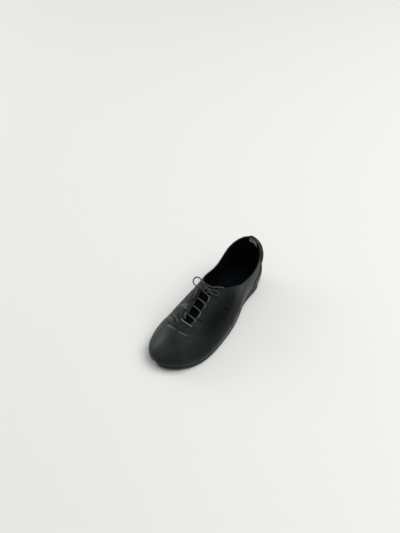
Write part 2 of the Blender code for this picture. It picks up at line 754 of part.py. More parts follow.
def centre_on_origin():
    """Move the pieces together so that the shoe's box, without its bow, is over the origin."""
    bpy.context.view_layer.update()
    graph = bpy.context.evaluated_depsgraph_get()
    corners = []
    for obj in shoe.objects:
        if obj.name not in LACE_ROUTES and obj.name != "lace_knot":
            corners += [corner[:] for corner in obj.evaluated_get(graph).bound_box]
    middle = (np.min(corners, axis=0) + np.max(corners, axis=0)) / 2.0
    for obj in shoe.objects:
        obj.location = (-middle[0], -middle[1], 0.0)


for old in list(bpy.data.objects):
    bpy.data.objects.remove(old, do_unlink=True)
shoe = bpy.data.collections.new("jazz_shoe")
cutters = bpy.data.collections.new("cutters")
bpy.context.scene.collection.children.link(shoe)
bpy.context.scene.collection.children.link(cutters)
materials = {}
for label, finish in FINISHES.items():
    material = bpy.data.materials.new(label)
    material.use_nodes = True
    shader = material.node_tree.nodes["Principled BSDF"]
    shader.inputs["Base Color"].default_value = (*finish.colour, 1.0)
    shader.inputs["Roughness"].default_value = finish.roughness
    shader.inputs["Metallic"].default_value = finish.metallic
    materials[label] = material

make_outsole()
make_heel()
make_insole()
make_upper()
make_tongue()
make_counter()
make_band()
make_tab()
make_lace_bars()
make_knot()
make_bow()
centre_on_origin()
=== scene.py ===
"""Looks of a lace-up jazz shoe for the left foot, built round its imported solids."""

import math
from collections import namedtuple

import bmesh
import bpy
import numpy as np
from mathutils import Matrix, Vector
from numpy.linalg import norm


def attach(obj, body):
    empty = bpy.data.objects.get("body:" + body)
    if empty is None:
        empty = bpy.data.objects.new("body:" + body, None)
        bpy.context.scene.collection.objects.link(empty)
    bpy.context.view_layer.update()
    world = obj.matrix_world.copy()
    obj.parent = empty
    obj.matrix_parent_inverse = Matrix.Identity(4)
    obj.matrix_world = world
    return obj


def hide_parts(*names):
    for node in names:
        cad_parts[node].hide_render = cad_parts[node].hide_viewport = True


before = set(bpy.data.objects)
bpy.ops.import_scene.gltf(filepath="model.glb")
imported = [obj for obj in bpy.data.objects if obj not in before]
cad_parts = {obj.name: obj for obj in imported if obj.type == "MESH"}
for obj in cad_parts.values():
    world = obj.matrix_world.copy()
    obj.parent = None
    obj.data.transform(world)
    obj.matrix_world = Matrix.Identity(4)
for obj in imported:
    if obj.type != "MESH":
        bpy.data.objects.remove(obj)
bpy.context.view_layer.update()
SHIFT = Vector((-0.0008563, -0.0023268, 0.0))

# The last's sizes, as the part's source states them
SHOE_LENGTH = 0.250
BALL_WIDTH = 0.090
INSTEP_HEIGHT = 0.068
HEEL_HEIGHT = 0.010
TOE_SPRING = 0.005
SOLE_THICKNESS = 0.0036
SOLE_EDGE_ROUND = 0.0009
UPPER_WALL = 0.0016
FEATHER_ROUND = 0.0025
BACK_HEIGHT = 0.0664
COLLAR_DIP = 0.031
SLOT_WIDTH = 0.017
SLOT_FRONT_WIDTH = 0.0145
INSOLE_THICKNESS = 0.0022
TONGUE_WALL = 0.0012
TONGUE_WIDTH = 0.044
TONGUE_TOP_WIDTH = 0.030
TONGUE_GAP = 0.0007
TONGUE_TOP_SAG = 0.0012
HEEL_INSET = 0.0012
COUNTER_WALL = 0.0010
BAND_WALL = 0.0050
BAND_HEIGHT = 0.017
BAND_DROP = 0.002
TAB_WALL = 0.0011
TAB_DEPTH_INSIDE = 0.010
LACE_DIAMETER = 0.0021
GAP = 0.0003
INSOLE_GAP = 0.0019
OVERLAY_GAP = 0.0005
THROAT_ALONG = 0.500
SLOT_FRONT_ALONG = 0.736
TONGUE_TOP_ALONG = 0.492
TONGUE_FRONT_ALONG = 0.790
HEEL_BREAST_ALONG = 0.285
ARCH_START_ALONG = 0.220
FOREFOOT_START_ALONG = 0.550
FOREFOOT_END_ALONG = 0.780
HEEL_FAN = 0.30
TOE_FAN = 0.62
TOE_FAN_PULL = 0.90
BACK_SEAM = 0.026
COUNTER_REACH = 0.245
BAND_REACH = 0.140
TAB_REACH = 0.058

FEATHER_LINE = np.array([
    (0.0, 0.0), (0.025, 0.185), (0.105, 0.32), (0.25, 0.342), (0.4, 0.442),
    (0.62, 0.515), (0.8, 0.49), (0.93, 0.309), (1.0, -0.035), (0.955, -0.333),
    (0.85, -0.472), (0.72, -0.49), (0.55, -0.4), (0.4, -0.3), (0.25, -0.29),
    (0.105, -0.325), (0.025, -0.195), (0.0, 0.0),
])
CREST_LINE = np.array([
    (0.0, 1.41), (0.14, 1.38), (0.3, 1.3), (0.4, 1.25), (0.46, 1.12), (0.525, 0.952),
    (0.6, 0.762), (0.73, 0.6), (0.86, 0.52), (1.0, 0.335),
])
# along, power of the section's curve on the outer and the inner side, belly in ball widths,
# belly height in insteps
FULLNESS = np.array([
    (0.0, 4.2, 4.2, 0.024, 0.59), (0.12, 4.0, 4.0, 0.018, 0.56), (0.3, 2.25, 2.25, 0.022, 0.53),
    (0.5, 2.0, 2.55, 0.02, 0.44), (0.6, 2.03, 2.95, 0.025, 0.41), (0.7, 2.08, 2.65, 0.029, 0.38),
    (0.9, 2.17, 2.08, 0.024, 0.35), (1.0, 2.2, 2.2, 0.017, 0.29),
])
# walk, dip on the outer side, dip on the inner side
COLLAR_LINE = np.array([
    (0.0, 0.0, 0.0), (0.1, 0.17, 0.19), (0.2, 0.71, 0.54), (0.3, 1.0, 0.75),
    (0.38, 0.78, 0.52), (0.44, 0.28, 0.22), (0.5, 0.0, 0.0),
])

WALK_STEP = 0.004
CLIMB_STEP = 0.006
LOWEST_CLIMB = 0.02
MM = 0.001

# Free cords of the bow: their routes from the knot, as in the part's source
KNOT_CENTRE = (-0.0034, -0.0042, 0.0708)
LACE_ROUTES = {
    "lace_loop_inner": (
        (-0.0057, -0.0023, 0.0748), (-0.0105, -0.0001, 0.0742), (-0.0147, 0.0019, 0.0733),
        (-0.0209, 0.0061, 0.0710), (-0.0268, 0.0079, 0.0689), (-0.0302, 0.0055, 0.0672),
        (-0.0302, 0.0012, 0.0648), (-0.0264, -0.0023, 0.0633), (-0.0206, -0.0052, 0.0649),
        (-0.0143, -0.0065, 0.0684), (-0.0092, -0.0061, 0.0707),
    ),
    "lace_loop_outer": (
        (0.0018, -0.0044, 0.0709), (0.0077, -0.0044, 0.0723), (0.0127, -0.0027, 0.0715),
        (0.0164, -0.0016, 0.0699), (0.0185, -0.0027, 0.0673), (0.0172, -0.0053, 0.0664),
        (0.0133, -0.0069, 0.0680), (0.0087, -0.0082, 0.0694), (0.0032, -0.0083, 0.0688),
    ),
    "lace_end_outer": (
        (-0.0068, -0.0008, 0.0721), (-0.0024, -0.0006, 0.0728), (0.0022, -0.0015, 0.0736),
        (0.0066, -0.0015, 0.0746), (0.0107, 0.0008, 0.0748), (0.0142, 0.0041, 0.0744),
        (0.0173, 0.0068, 0.0733), (0.0204, 0.0094, 0.0724),
    ),
    "lace_end_inner": (
        (-0.0026, -0.0081, 0.0698), (-0.0075, -0.0084, 0.0692), (-0.0113, -0.0085, 0.0681),
        (-0.0135, -0.0093, 0.0668), (-0.0136, -0.0121, 0.0649), (-0.0128, -0.0162, 0.0626),
        (-0.0125, -0.0196, 0.0604), (-0.0125, -0.0241, 0.0576),
    ),
}


def smooth_curve(knots, values, closed=False):
    """Cubic through the values at the knots, natural at its ends or closed on itself."""
    knots = np.asarray(knots, float)
    values = np.asarray(values, float)
    count = len(knots)
    steps = np.diff(knots)
    rise = (np.diff(values, axis=0).T / steps).T
    system = np.zeros((count, count))
    right = np.zeros_like(values)
    for i in range(1, count - 1):
        system[i, i - 1] = 1.0 / steps[i - 1]
        system[i, i] = 2.0 / steps[i - 1] + 2.0 / steps[i]
        system[i, i + 1] = 1.0 / steps[i]
        right[i] = 3.0 * (rise[i - 1] / steps[i - 1] + rise[i] / steps[i])
    if closed:
        system[0, 0] = 2.0 / steps[0] + 2.0 / steps[-1]
        system[0, 1] = 1.0 / steps[0]
        system[0, count - 2] = 1.0 / steps[-1]
        right[0] = 3.0 * (rise[0] / steps[0] + rise[-1] / steps[-1])
        system[-1, 0] = 1.0
        system[-1, -1] = -1.0
    else:
        system[0, 0], system[0, 1] = 2.0, 1.0
        system[-1, -1], system[-1, -2] = 2.0, 1.0
        right[0] = 3.0 * rise[0]
        right[-1] = 3.0 * rise[-1]
    slopes = np.linalg.solve(system, right)

    def at(where):
        where = np.asarray(where, float)
        i = np.clip(np.searchsorted(knots, where) - 1, 0, count - 2)
        t = (where - knots[i]) / steps[i]
        step = steps[i]
        if values.ndim > 1:
            t = t[..., None]
            step = step[..., None]
        start = (1 + 2 * t) * (1 - t) ** 2 * values[i] + t * (1 - t) ** 2 * step * slopes[i]
        end = t * t * (3 - 2 * t) * values[i + 1] - t * t * (1 - t) * step * slopes[i + 1]
        return start + end

    return at


def feather_sides():
    """The feather line's reach across, by the walk from heel to toe, on its two sides."""
    corners = np.stack([(0.5 - FEATHER_LINE[:, 0]) * SHOE_LENGTH,
                        FEATHER_LINE[:, 1] * BALL_WIDTH], axis=1)
    chords = norm(np.diff(corners, axis=0), axis=1)
    knots = np.concatenate([[0.0], np.cumsum(chords ** 0.75)])
    line = smooth_curve(knots, corners, closed=True)(np.linspace(0.0, knots[-1], 4001))
    along = (line[:, 0].max() - line[:, 0]) / np.ptp(line[:, 0])
    toe = int(np.argmax(along))
    sides = {}
    for side, part in ((1, slice(0, toe + 1)), (-1, slice(toe, None))):
        walk = np.arccos(np.clip(1.0 - 2.0 * along[part], -1.0, 1.0)) / math.pi
        order = np.argsort(walk)
        sides[side] = (walk[order], line[part, 1][order])
    return sides


SIDES = feather_sides()
crest_curve = smooth_curve(CREST_LINE[:, 0], CREST_LINE[:, 1] * INSTEP_HEIGHT)
outer_power, inner_power, belly_curve, belly_top_curve = (
    smooth_curve(FULLNESS[:, 0], FULLNESS[:, column] * unit)
    for column, unit in ((1, 1.0), (2, 1.0), (3, BALL_WIDTH), (4, INSTEP_HEIGHT)))


def walk_of(along):
    """Walk from heel to toe for a share of the length."""
    return math.acos(1.0 - 2.0 * along) / math.pi


THROAT_WALK = walk_of(THROAT_ALONG)


def ease(share):
    """Smooth step from 0 to 1."""
    share = np.clip(share, 0.0, 1.0)
    return share * share * (3.0 - 2.0 * share)


def sole_bottom(along):
    """Height of the sole's underside: heel, arch, flat forefoot and toe spring."""
    arch = ease((along - ARCH_START_ALONG) / (FOREFOOT_START_ALONG - ARCH_START_ALONG))
    lift = np.clip((along - FOREFOOT_END_ALONG) / (1.0 - FOREFOOT_END_ALONG), 0.0, 1.0)
    return HEEL_HEIGHT * (1.0 - arch) + TOE_SPRING * lift ** 2


def feather_height(along):
    """Height of the line where the upper meets the sole."""
    return sole_bottom(along) + SOLE_THICKNESS + GAP


def spine_along(along):
    """Where a section's rib ends on the crest."""
    past = np.maximum(along - TOE_FAN, 0.0)
    short = np.maximum(HEEL_FAN - along, 0.0)
    fore = TOE_FAN_PULL * past ** 2 / (2.0 * (1.0 - TOE_FAN))
    return along - fore + short ** 2 / (2.0 * HEEL_FAN)


def foot_edge(walk):
    """Point of the feather line in plan; walk is plus on the outer side, minus inside."""
    walk = np.asarray(walk, float)
    along = (1.0 - np.cos(math.pi * np.abs(walk))) / 2.0
    outer = np.interp(np.abs(walk), *SIDES[1])
    inner = np.interp(np.abs(walk), *SIDES[-1])
    across = np.where(walk >= 0.0, outer, inner)
    return np.stack([across, (0.5 - along) * SHOE_LENGTH], axis=-1), along


def walk_wrap(walk):
    """Keep a walk within one round of the foot."""
    return (walk + 1.0) % 2.0 - 1.0


def edge_outward(walk):
    """Outward direction of the feather line in plan."""
    walk = np.asarray(walk, float)
    run = foot_edge(walk_wrap(walk + WALK_STEP))[0] - foot_edge(walk_wrap(walk - WALK_STEP))[0]
    run = run / norm(run, axis=-1, keepdims=True)
    return np.stack([-run[..., 1], run[..., 0]], axis=-1)


def section_power(walk, along):
    """Power of the section's curve on the side where the walk is."""
    return np.where(walk >= 0.0, outer_power(along), inner_power(along))


def last_point(walk, climb):
    """Point of the last's outside; climb goes from 0 at the sole to 1 at the crest."""
    walk, climb = np.broadcast_arrays(np.asarray(walk, float), np.asarray(climb, float))
    edge, along = foot_edge(walk)
    crest = np.stack([0.0 * along, (0.5 - spine_along(along)) * SHOE_LENGTH], axis=-1)
    power = section_power(walk, along)
    angle = climb * math.pi / 2.0
    reach = np.maximum(np.cos(angle), 0.0) ** (2.0 / power)
    rise = np.maximum(np.sin(angle), 0.0) ** (2.0 / power)
    plan = edge * reach[..., None] + crest * (1.0 - reach[..., None])
    own_along = np.clip(0.5 - plan[..., 1] / SHOE_LENGTH, 0.0, 1.0)
    base = feather_height(along)
    height = (feather_height(own_along) + crest_curve(own_along) - base) * rise
    outward = edge - crest
    outward = outward / norm(outward, axis=-1, keepdims=True)
    swell = np.sin(math.pi * np.clip(height / belly_top_curve(along), 0.0, 1.0)) ** 2
    tuck_height = np.clip(FEATHER_ROUND - height, 0.0, FEATHER_ROUND)
    tuck = FEATHER_ROUND - np.sqrt(FEATHER_ROUND ** 2 - tuck_height ** 2)
    shift = belly_curve(along) * swell * reach - tuck
    plan = plan + outward * shift[..., None]
    return np.concatenate([plan, (base + height)[..., None]], axis=-1)


def last_outward(walk, climb):
    """Outward direction of the last's surface."""
    climb = np.maximum(climb, LOWEST_CLIMB)
    across = last_point(walk_wrap(walk + WALK_STEP), climb) - last_point(walk_wrap(walk - WALK_STEP), climb)
    upward = last_point(walk, climb + CLIMB_STEP) - last_point(walk, climb - CLIMB_STEP)
    normal = np.cross(upward, across)
    return normal / norm(normal, axis=-1, keepdims=True)


def shell_point(walk, climb, lift):
    """Point of the last moved outwards by lift, or inwards where lift is minus."""
    walk, climb = np.broadcast_arrays(np.asarray(walk, float), np.asarray(climb, float))
    lift = np.broadcast_to(np.asarray(lift, float), walk.shape)
    return last_point(walk, climb) + last_outward(walk, climb) * lift[..., None]


def climb_to_height(walk, height):
    """Climb at which a rib reaches a height above the feather line."""
    walk = np.asarray(walk, float)
    target = feather_height(foot_edge(walk)[1]) + height
    low, high = np.zeros_like(walk), np.ones_like(walk)
    for _ in range(30):
        middle = (low + high) / 2.0
        below = last_point(walk, middle)[..., 2] < target
        low = np.where(below, middle, low)
        high = np.where(below, high, middle)
    return (low + high) / 2.0


def climb_to_side(walk, half_width):
    """Climb at which a rib comes within half_width of the centre line."""
    edge, along = foot_edge(walk)
    reach = np.maximum(half_width, 1e-5) / np.abs(edge[..., 0])
    return np.arccos(reach ** (section_power(walk, along) / 2.0)) / (math.pi / 2.0)


def collar_height(walk):
    """Height of the top line above the feather line, by the signed walk."""
    size = np.abs(walk)
    corner = last_point(THROAT_WALK, climb_to_side(np.array(THROAT_WALK), SLOT_WIDTH / 2.0))
    throat = corner[2] - feather_height(THROAT_ALONG)
    level = BACK_HEIGHT + (throat - BACK_HEIGHT) * ease(size / THROAT_WALK)
    walks = COLLAR_LINE[:, 0] * THROAT_WALK / COLLAR_LINE[-1, 0]
    outer = smooth_curve(walks, COLLAR_LINE[:, 1])(size)
    inner = smooth_curve(walks, COLLAR_LINE[:, 2])(size)
    return level - COLLAR_DIP * np.where(np.asarray(walk) >= 0.0, outer, inner)


def below_collar(walk, drop):
    """Climb of a line some way below the top line, or above it where drop is minus."""
    return climb_to_height(walk, collar_height(walk) - drop)


def collar_climb(walk):
    """Climb of the top line, led into the slot's corner at the throat."""
    walk = np.asarray(walk, float)
    corner = np.where(walk >= 0.0, THROAT_WALK, -THROAT_WALK)
    off = climb_to_side(corner, SLOT_WIDTH / 2.0) - below_collar(corner, 0.0)
    near = ease((np.abs(walk) / THROAT_WALK - 0.85) / 0.15)
    return below_collar(walk, 0.0) + off * near


def section_walk(crest_along):
    """Walk of the section whose rib ends at a place along the crest."""
    low, high = 0.0, 1.0
    for _ in range(40):
        middle = (low + high) / 2.0
        if spine_along(middle) < crest_along:
            low = middle
        else:
            high = middle
    return walk_of((low + high) / 2.0)


FRONT_WALK = section_walk(SLOT_FRONT_ALONG)


def slot_half(walk):
    """Half the lace slot's width at a section; it narrows toward the toe."""
    share = (np.abs(walk) - THROAT_WALK) / (FRONT_WALK - THROAT_WALK)
    return (SLOT_WIDTH + (SLOT_FRONT_WIDTH - SLOT_WIDTH) * share) / 2.0


def slot_climb(walk, back=0.0):
    """Climb of the lace slot's edge, or of a line some way back from it."""
    return climb_to_side(walk, slot_half(walk) + back)


def place_on_upper(x, y):
    """Signed walk and climb of the upper's point at a place in plan near the slot."""
    side = 1.0 if x >= 0.0 else -1.0
    along = 0.5 - y / SHOE_LENGTH
    walk = walk_of(along)
    climb = 1.0
    for _ in range(12):
        walk = walk_of(min(along, 0.99))
        climb = float(climb_to_side(np.array(walk * side), abs(x)))
        along += (last_point(walk * side, climb)[1] - y) / SHOE_LENGTH
    return walk * side, climb


def upper_at(x, y, lift):
    """Point over the upper at a place in plan near the slot, and the outward direction."""
    walk, climb = place_on_upper(x, y)
    climb = min(climb, 0.995)
    return shell_point(walk, climb, lift), last_outward(walk, climb)


def new_object(name, data):
    """Object of some data, put into the scene."""
    obj = bpy.data.objects.new(name, data)
    bpy.context.scene.collection.objects.link(obj)
    return obj


# Camera, at the photograph's angle to the shoe
PITCH = math.radians(44.25)
HEADING = math.radians(34.88)
CAMERA_PLACE = Vector((0.4704, -0.6989, 0.9335))
SENSOR_WIDTH = 36.0
FOCAL_LENGTH = 54.03
camera_data = bpy.data.cameras.new("camera")
camera_data.sensor_width = SENSOR_WIDTH
camera_data.lens = FOCAL_LENGTH
camera_data.clip_start = 0.05
camera = new_object("camera", camera_data)
right = Vector((math.cos(HEADING), math.sin(HEADING), 0.0))
level = Vector((-math.sin(HEADING), math.cos(HEADING), 0.0))
forward = level * math.cos(PITCH) - Vector((0.0, 0.0, math.sin(PITCH)))
turn = Matrix((right, right.cross(forward), -forward)).transposed().to_4x4()
camera.matrix_world = Matrix.Translation(CAMERA_PLACE + SHIFT) @ turn
bpy.context.scene.camera = camera


# Materials
Look = namedtuple("Look", "dark light rough_low rough_high grain grain_size relief gloss")
LOOKS = {name: Look(*row) for name, *row in (
    ("upper_leather", (0.008, 0.012, 0.0114), (0.017, 0.0235, 0.0225), 0.32, 0.48, 0.35, 0.9, 0.16, 0.15),
    # Near black, darker than the upper: partly the tongue's own matt tone and partly painted shade of the
    # slot under the laces.
    ("tongue_leather", (0.0006, 0.0006, 0.0007), (0.002, 0.002, 0.0022), 0.6, 0.75, 0.3, 0.8, 0.12, 0.05),
    ("edge_leather", (0.006, 0.008, 0.008), (0.014, 0.018, 0.0175), 0.28, 0.4, 0.2, 0.7, 0.1, 0.45),
    ("lining_leather", (0.003, 0.004, 0.006), (0.008, 0.01, 0.013), 0.2, 0.32, 0.2, 0.8, 0.08, 0.5),
    # Pale rib colour: a painted glint along the ribs inside the tab.
    ("tab_rib_glint", (0.18, 0.196, 0.21), (0.36, 0.38, 0.4), 0.2, 0.32, 0.2, 0.8, 0.08, 0.6),
    # Near black: painted shadow for the dark dashes laid on the leather.
    ("tuck", (0.0002, 0.0002, 0.0002), (0.0006, 0.0006, 0.0006), 0.85, 0.95, 0.2, 0.8, 0.05, 0.0),
    ("lining", (0.0006, 0.001, 0.002), (0.002, 0.003, 0.005), 0.75, 0.9, 0.3, 0.5, 0.15, 0.1),
    ("sole", (0.003, 0.0035, 0.0035), (0.008, 0.009, 0.009), 0.2, 0.38, 0.25, 1.4, 0.06, 0.5),
    ("heel_rubber", (0.004, 0.004, 0.004), (0.009, 0.009, 0.009), 0.5, 0.68, 0.3, 1.8, 0.08, 0.3),
    ("lace", (0.008, 0.009, 0.01), (0.038, 0.042, 0.043), 0.3, 0.44, 0.3, 0.25, 0.2, 0.7),
    # The next two rows are paler copies of the lace: painted highlights on its front run and on its
    # crossings.
    ("lace_front_highlit", (0.06, 0.066, 0.067), (0.18, 0.19, 0.19), 0.26, 0.4, 0.3, 0.25, 0.2, 0.8),
    ("lace_crossing_highlit", (0.018, 0.02, 0.021), (0.075, 0.082, 0.083), 0.26, 0.4, 0.3, 0.25, 0.2, 0.8),
    ("aglet", (0.012, 0.013, 0.014), (0.022, 0.024, 0.026), 0.12, 0.22, 0.1, 2.0, 0.02, 0.6),
    ("thread", (0.006, 0.008, 0.008), (0.016, 0.019, 0.019), 0.4, 0.55, 0.2, 0.3, 0.1, 0.4),
)}
# Colours and roughness of painted highlights and glints, and of painted shade, where the mesh marks them
HIGHLIGHT_TONE = {"upper_leather": (0.150, 0.172, 0.166), "sole": (0.62, 0.61, 0.57)}
HIGHLIGHT_ROUGHNESS = (0.30, 0.30, 0.30)
SHADE_TONE, SHADE_ROUGHNESS = (0.001, 0.0015, 0.0015), (0.75, 0.75, 0.75)
MOTTLE_SCALE = 55.0
CELLS_PER_METRE = 1000.0
BUMPS_PER_METRE = 600.0
BUMP_HEIGHT = 0.0006


def add_node(nodes, kind, **inputs):
    """New node with its inputs set."""
    node = nodes.new("ShaderNode" + kind)
    for name, value in inputs.items():
        node.inputs[name].default_value = value
    return node


def ramp(nodes, low, high, first, last):
    """Colour ramp between two colours over a stretch of its input."""
    node = add_node(nodes, "ValToRGB")
    node.color_ramp.elements[0].position = low
    node.color_ramp.elements[1].position = high
    node.color_ramp.elements[0].color = (*first, 1.0)
    node.color_ramp.elements[1].color = (*last, 1.0)
    return node


def paint_light_and_shade(nodes, link, value, rubbed, painted_shade):
    """Value led to a painted highlight where the mesh marks light, and to painted shade where it marks
    shade.
    """
    light_shade_mark = add_node(nodes, "Attribute")
    light_shade_mark.attribute_name = "light_shade_mark"
    for sign, tint in ((1.0, rubbed), (-1.0, painted_shade)):
        share = add_node(nodes, "Math")
        share.operation = "MULTIPLY"
        share.use_clamp = True
        share.inputs[1].default_value = sign
        link(light_shade_mark.outputs["Fac"], share.inputs[0])
        mix = add_node(nodes, "MixRGB", Color2=(*tint, 1.0))
        link(share.outputs["Value"], mix.inputs["Fac"])
        link(value, mix.inputs["Color1"])
        value = mix.outputs["Color"]
    return value


def make_material(name, look):
    """Grained material: mottled colour and gloss over a fine cell grain."""
    material = bpy.data.materials.new(name)
    material.use_nodes = True
    nodes = material.node_tree.nodes
    link = material.node_tree.links.new
    shader = nodes["Principled BSDF"]
    where = add_node(nodes, "TexCoord").outputs["Object"]
    mottle = add_node(nodes, "TexNoise", Scale=MOTTLE_SCALE, Detail=6.0, Roughness=0.62)
    link(where, mottle.inputs["Vector"])
    colour = ramp(nodes, 0.36, 0.70, look.dark, look.light)
    link(mottle.outputs["Fac"], colour.inputs["Fac"])
    rough = ramp(nodes, 0.30, 0.72, [look.rough_high] * 3, [look.rough_low] * 3)
    link(mottle.outputs["Fac"], rough.inputs["Fac"])
    tint, roughness = colour.outputs["Color"], rough.outputs["Color"]
    # Painted highlights and painted shade, led in by the mesh's mark
    if name in HIGHLIGHT_TONE:
        tint = paint_light_and_shade(nodes, link, tint, HIGHLIGHT_TONE[name], SHADE_TONE)
        roughness = paint_light_and_shade(nodes, link, roughness, HIGHLIGHT_ROUGHNESS, SHADE_ROUGHNESS)
    link(tint, shader.inputs["Base Color"])
    link(roughness, shader.inputs["Roughness"])
    cells = add_node(nodes, "TexVoronoi", Scale=CELLS_PER_METRE / look.grain_size)
    link(where, cells.inputs["Vector"])
    fine = add_node(nodes, "TexNoise", Scale=BUMPS_PER_METRE / look.grain_size, Detail=4.0)
    link(where, fine.inputs["Vector"])
    height = add_node(nodes, "Math")
    height.operation = "MULTIPLY_ADD"
    height.inputs[1].default_value = look.grain
    link(cells.outputs["Distance"], height.inputs[0])
    link(fine.outputs["Fac"], height.inputs[2])
    bump = add_node(nodes, "Bump", Strength=look.relief, Distance=BUMP_HEIGHT)
    link(height.outputs["Value"], bump.inputs["Height"])
    link(bump.outputs["Normal"], shader.inputs["Normal"])
    shader.inputs["Specular IOR Level"].default_value = look.gloss
    return material


materials = {name: make_material(name, look) for name, look in LOOKS.items()}


# Meshes
def lay_grid(bm, columns, rows, place):
    """Add a grid whose points go where place(u, w) says, u and w from 0 to 1."""
    made = bmesh.ops.create_grid(bm, x_segments=columns, y_segments=rows, size=0.5)["verts"]
    u = np.array([vert.co.x + 0.5 for vert in made])
    w = np.array([vert.co.y + 0.5 for vert in made])
    for vert, point in zip(made, place(u, w)):
        vert.co = point


def sweep(bm, sections, ring=False):
    """Add a body through closed sections of equal length, or a closed ring of them."""
    sections = np.asarray(sections, float)
    count, around = sections.shape[:2]
    columns = count if ring else count - 1
    made = bmesh.ops.create_grid(bm, x_segments=columns, y_segments=around, size=0.5)["verts"]
    for vert in made:
        i = int(round((vert.co.x + 0.5) * columns)) % count
        j = int(round((vert.co.y + 0.5) * around)) % around
        vert.co = sections[i, j]
    bmesh.ops.remove_doubles(bm, verts=made, dist=2e-6)
    if not ring:
        rims = [edge for edge in bm.edges if edge.is_boundary]
        bmesh.ops.holes_fill(bm, edges=rims, sides=0)


def add_sweep(bm, sections, ring=False):
    """Sweep a body beside the ones that a bmesh already holds."""
    part = bmesh.new()
    sweep(part, sections, ring)
    scratch = bpy.data.meshes.new("scratch")
    part.to_mesh(scratch)
    part.free()
    bm.from_mesh(scratch)
    bpy.data.meshes.remove(scratch)


def frames_along(points, ring=False):
    """Two directions across a path at each of its points, turned as little as possible."""
    if ring:
        run = np.roll(points, -1, axis=0) - np.roll(points, 1, axis=0)
    else:
        run = np.gradient(points, axis=0)
    run /= norm(run, axis=1, keepdims=True)
    across = np.empty_like(run)
    first = np.cross(run[0], (0.0, 0.0, 1.0))
    if norm(first) < 0.1:
        first = np.cross(run[0], (1.0, 0.0, 0.0))
    across[0] = first / norm(first)
    for i in range(1, len(run)):
        kept = across[i - 1] - run[i] * np.dot(across[i - 1], run[i])
        across[i] = kept / norm(kept)
    return across, np.cross(run, across)


def length_along(points):
    """Length from the start of a path to each of its points."""
    return np.concatenate([[0.0], np.cumsum(norm(np.diff(points, axis=0), axis=1))])


BRAID_PITCH = 0.0026
BRAID_STRANDS = 4.0


def tube_sections(points, radius, around=12, braid=0.0, ring=False):
    """Round sections along a path, with the relief of a braid or none."""
    across, over = frames_along(points, ring)
    length = length_along(points)
    angles = np.arange(around) * math.tau / around
    turn = math.tau * length[:, None] / BRAID_PITCH
    strands = BRAID_STRANDS * angles[None]
    relief = 1.0 + braid * np.sin(strands + turn) * np.sin(strands - turn)
    reach = np.broadcast_to(np.asarray(radius, float), (len(points),))[:, None] * relief
    return (points[:, None] + across[:, None] * (np.cos(angles) * reach)[..., None]
            + over[:, None] * (np.sin(angles) * reach)[..., None])


def route_points(route, step):
    """Evenly spaced points on a smooth curve through a route."""
    corners = np.asarray(route, float)
    knots = length_along(corners)
    line = smooth_curve(knots, corners)(np.linspace(0.0, knots[-1], 600))
    length = length_along(line)
    at = np.linspace(0.0, length[-1], max(int(length[-1] / step), 4) + 1)
    return np.stack([np.interp(at, length, line[:, k]) for k in range(3)], axis=1)


def piece(name, bm, finishes, nodes=(), up=None, sharp=50):
    """Object of a bmesh: a closed body, or a sheet that faces where up(point) says."""
    if up is None:
        bmesh.ops.recalc_face_normals(bm, faces=bm.faces)
    else:
        bm.normal_update()
        facing = sum(face.normal.dot(up(face.calc_center_median())) for face in bm.faces)
        if facing < 0.0:
            bmesh.ops.reverse_faces(bm, faces=bm.faces)
    bmesh.ops.translate(bm, vec=SHIFT, verts=bm.verts)
    mesh = bpy.data.meshes.new(name)
    bm.to_mesh(mesh)
    bm.free()
    mesh.shade_smooth()
    mesh.set_sharp_from_angle(angle=math.radians(sharp))
    obj = new_object(name, mesh)
    for finish in finishes:
        mesh.materials.append(materials[finish])
    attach(obj, "root")
    if nodes:
        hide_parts(*nodes)
    return obj


EDGE_ROUNDING = 0.0004


def thicken(obj, thickness, offset, rounding=0.0, segments=2):
    """Give a sheet its wall, with rounded edges or none."""
    wall = obj.modifiers.new("wall", "SOLIDIFY")
    wall.thickness = thickness
    wall.offset = offset
    if rounding:
        edge = obj.modifiers.new("edge", "BEVEL")
        edge.width = rounding
        edge.segments = segments
        edge.limit_method = "ANGLE"
        edge.angle_limit = math.radians(60)
    return wall


def away_from_foot(point):
    """Direction out of the foot at a point of the upper."""
    return Vector((point.x, point.y - np.clip(point.y, -0.075, 0.085), point.z - 0.015))


# Free cords of the bow
LACE_RADIUS = LACE_DIAMETER / 2.0
LACE_STEP = 0.00038
LACE_SIDES = 16
BRAID = 0.075
AGLET_LENGTH = 0.0075
KNOT_BITE = 0.0018


def lace_body(name, routes, nodes, finish="lace"):
    """Braided lace along one or more routes."""
    bm = bmesh.new()
    for points in routes:
        radius = np.full(len(points), LACE_RADIUS)
        radius[0] = radius[-1] = LACE_RADIUS * 0.72
        add_sweep(bm, tube_sections(points, radius, LACE_SIDES, BRAID))
    return piece(name, bm, [finish], nodes, sharp=75)


def knot_route():
    """Closed route of the tied knot, three turns through each other."""
    turn = np.linspace(0.0, math.tau, 141)[:-1]
    shape = np.stack([1.10 * (np.sin(turn) + 2.0 * np.sin(2.0 * turn)),
                      0.56 * (np.cos(turn) - 2.0 * np.cos(2.0 * turn)),
                      -1.55 * np.sin(3.0 * turn)], axis=1)
    return np.array(KNOT_CENTRE) + shape * MM


knot = bmesh.new()
sweep(knot, tube_sections(knot_route(), LACE_RADIUS, 14, BRAID * 0.6, ring=True), ring=True)
knot = piece("lace_knot_tied", knot, ["lace"], ["lace_knot"], sharp=75)


def into_knot(point):
    """Point a little further into the knot than the route's end."""
    way = np.array(KNOT_CENTRE) - np.array(point)
    return tuple(np.array(point) + way * min(KNOT_BITE / norm(way), 0.6))


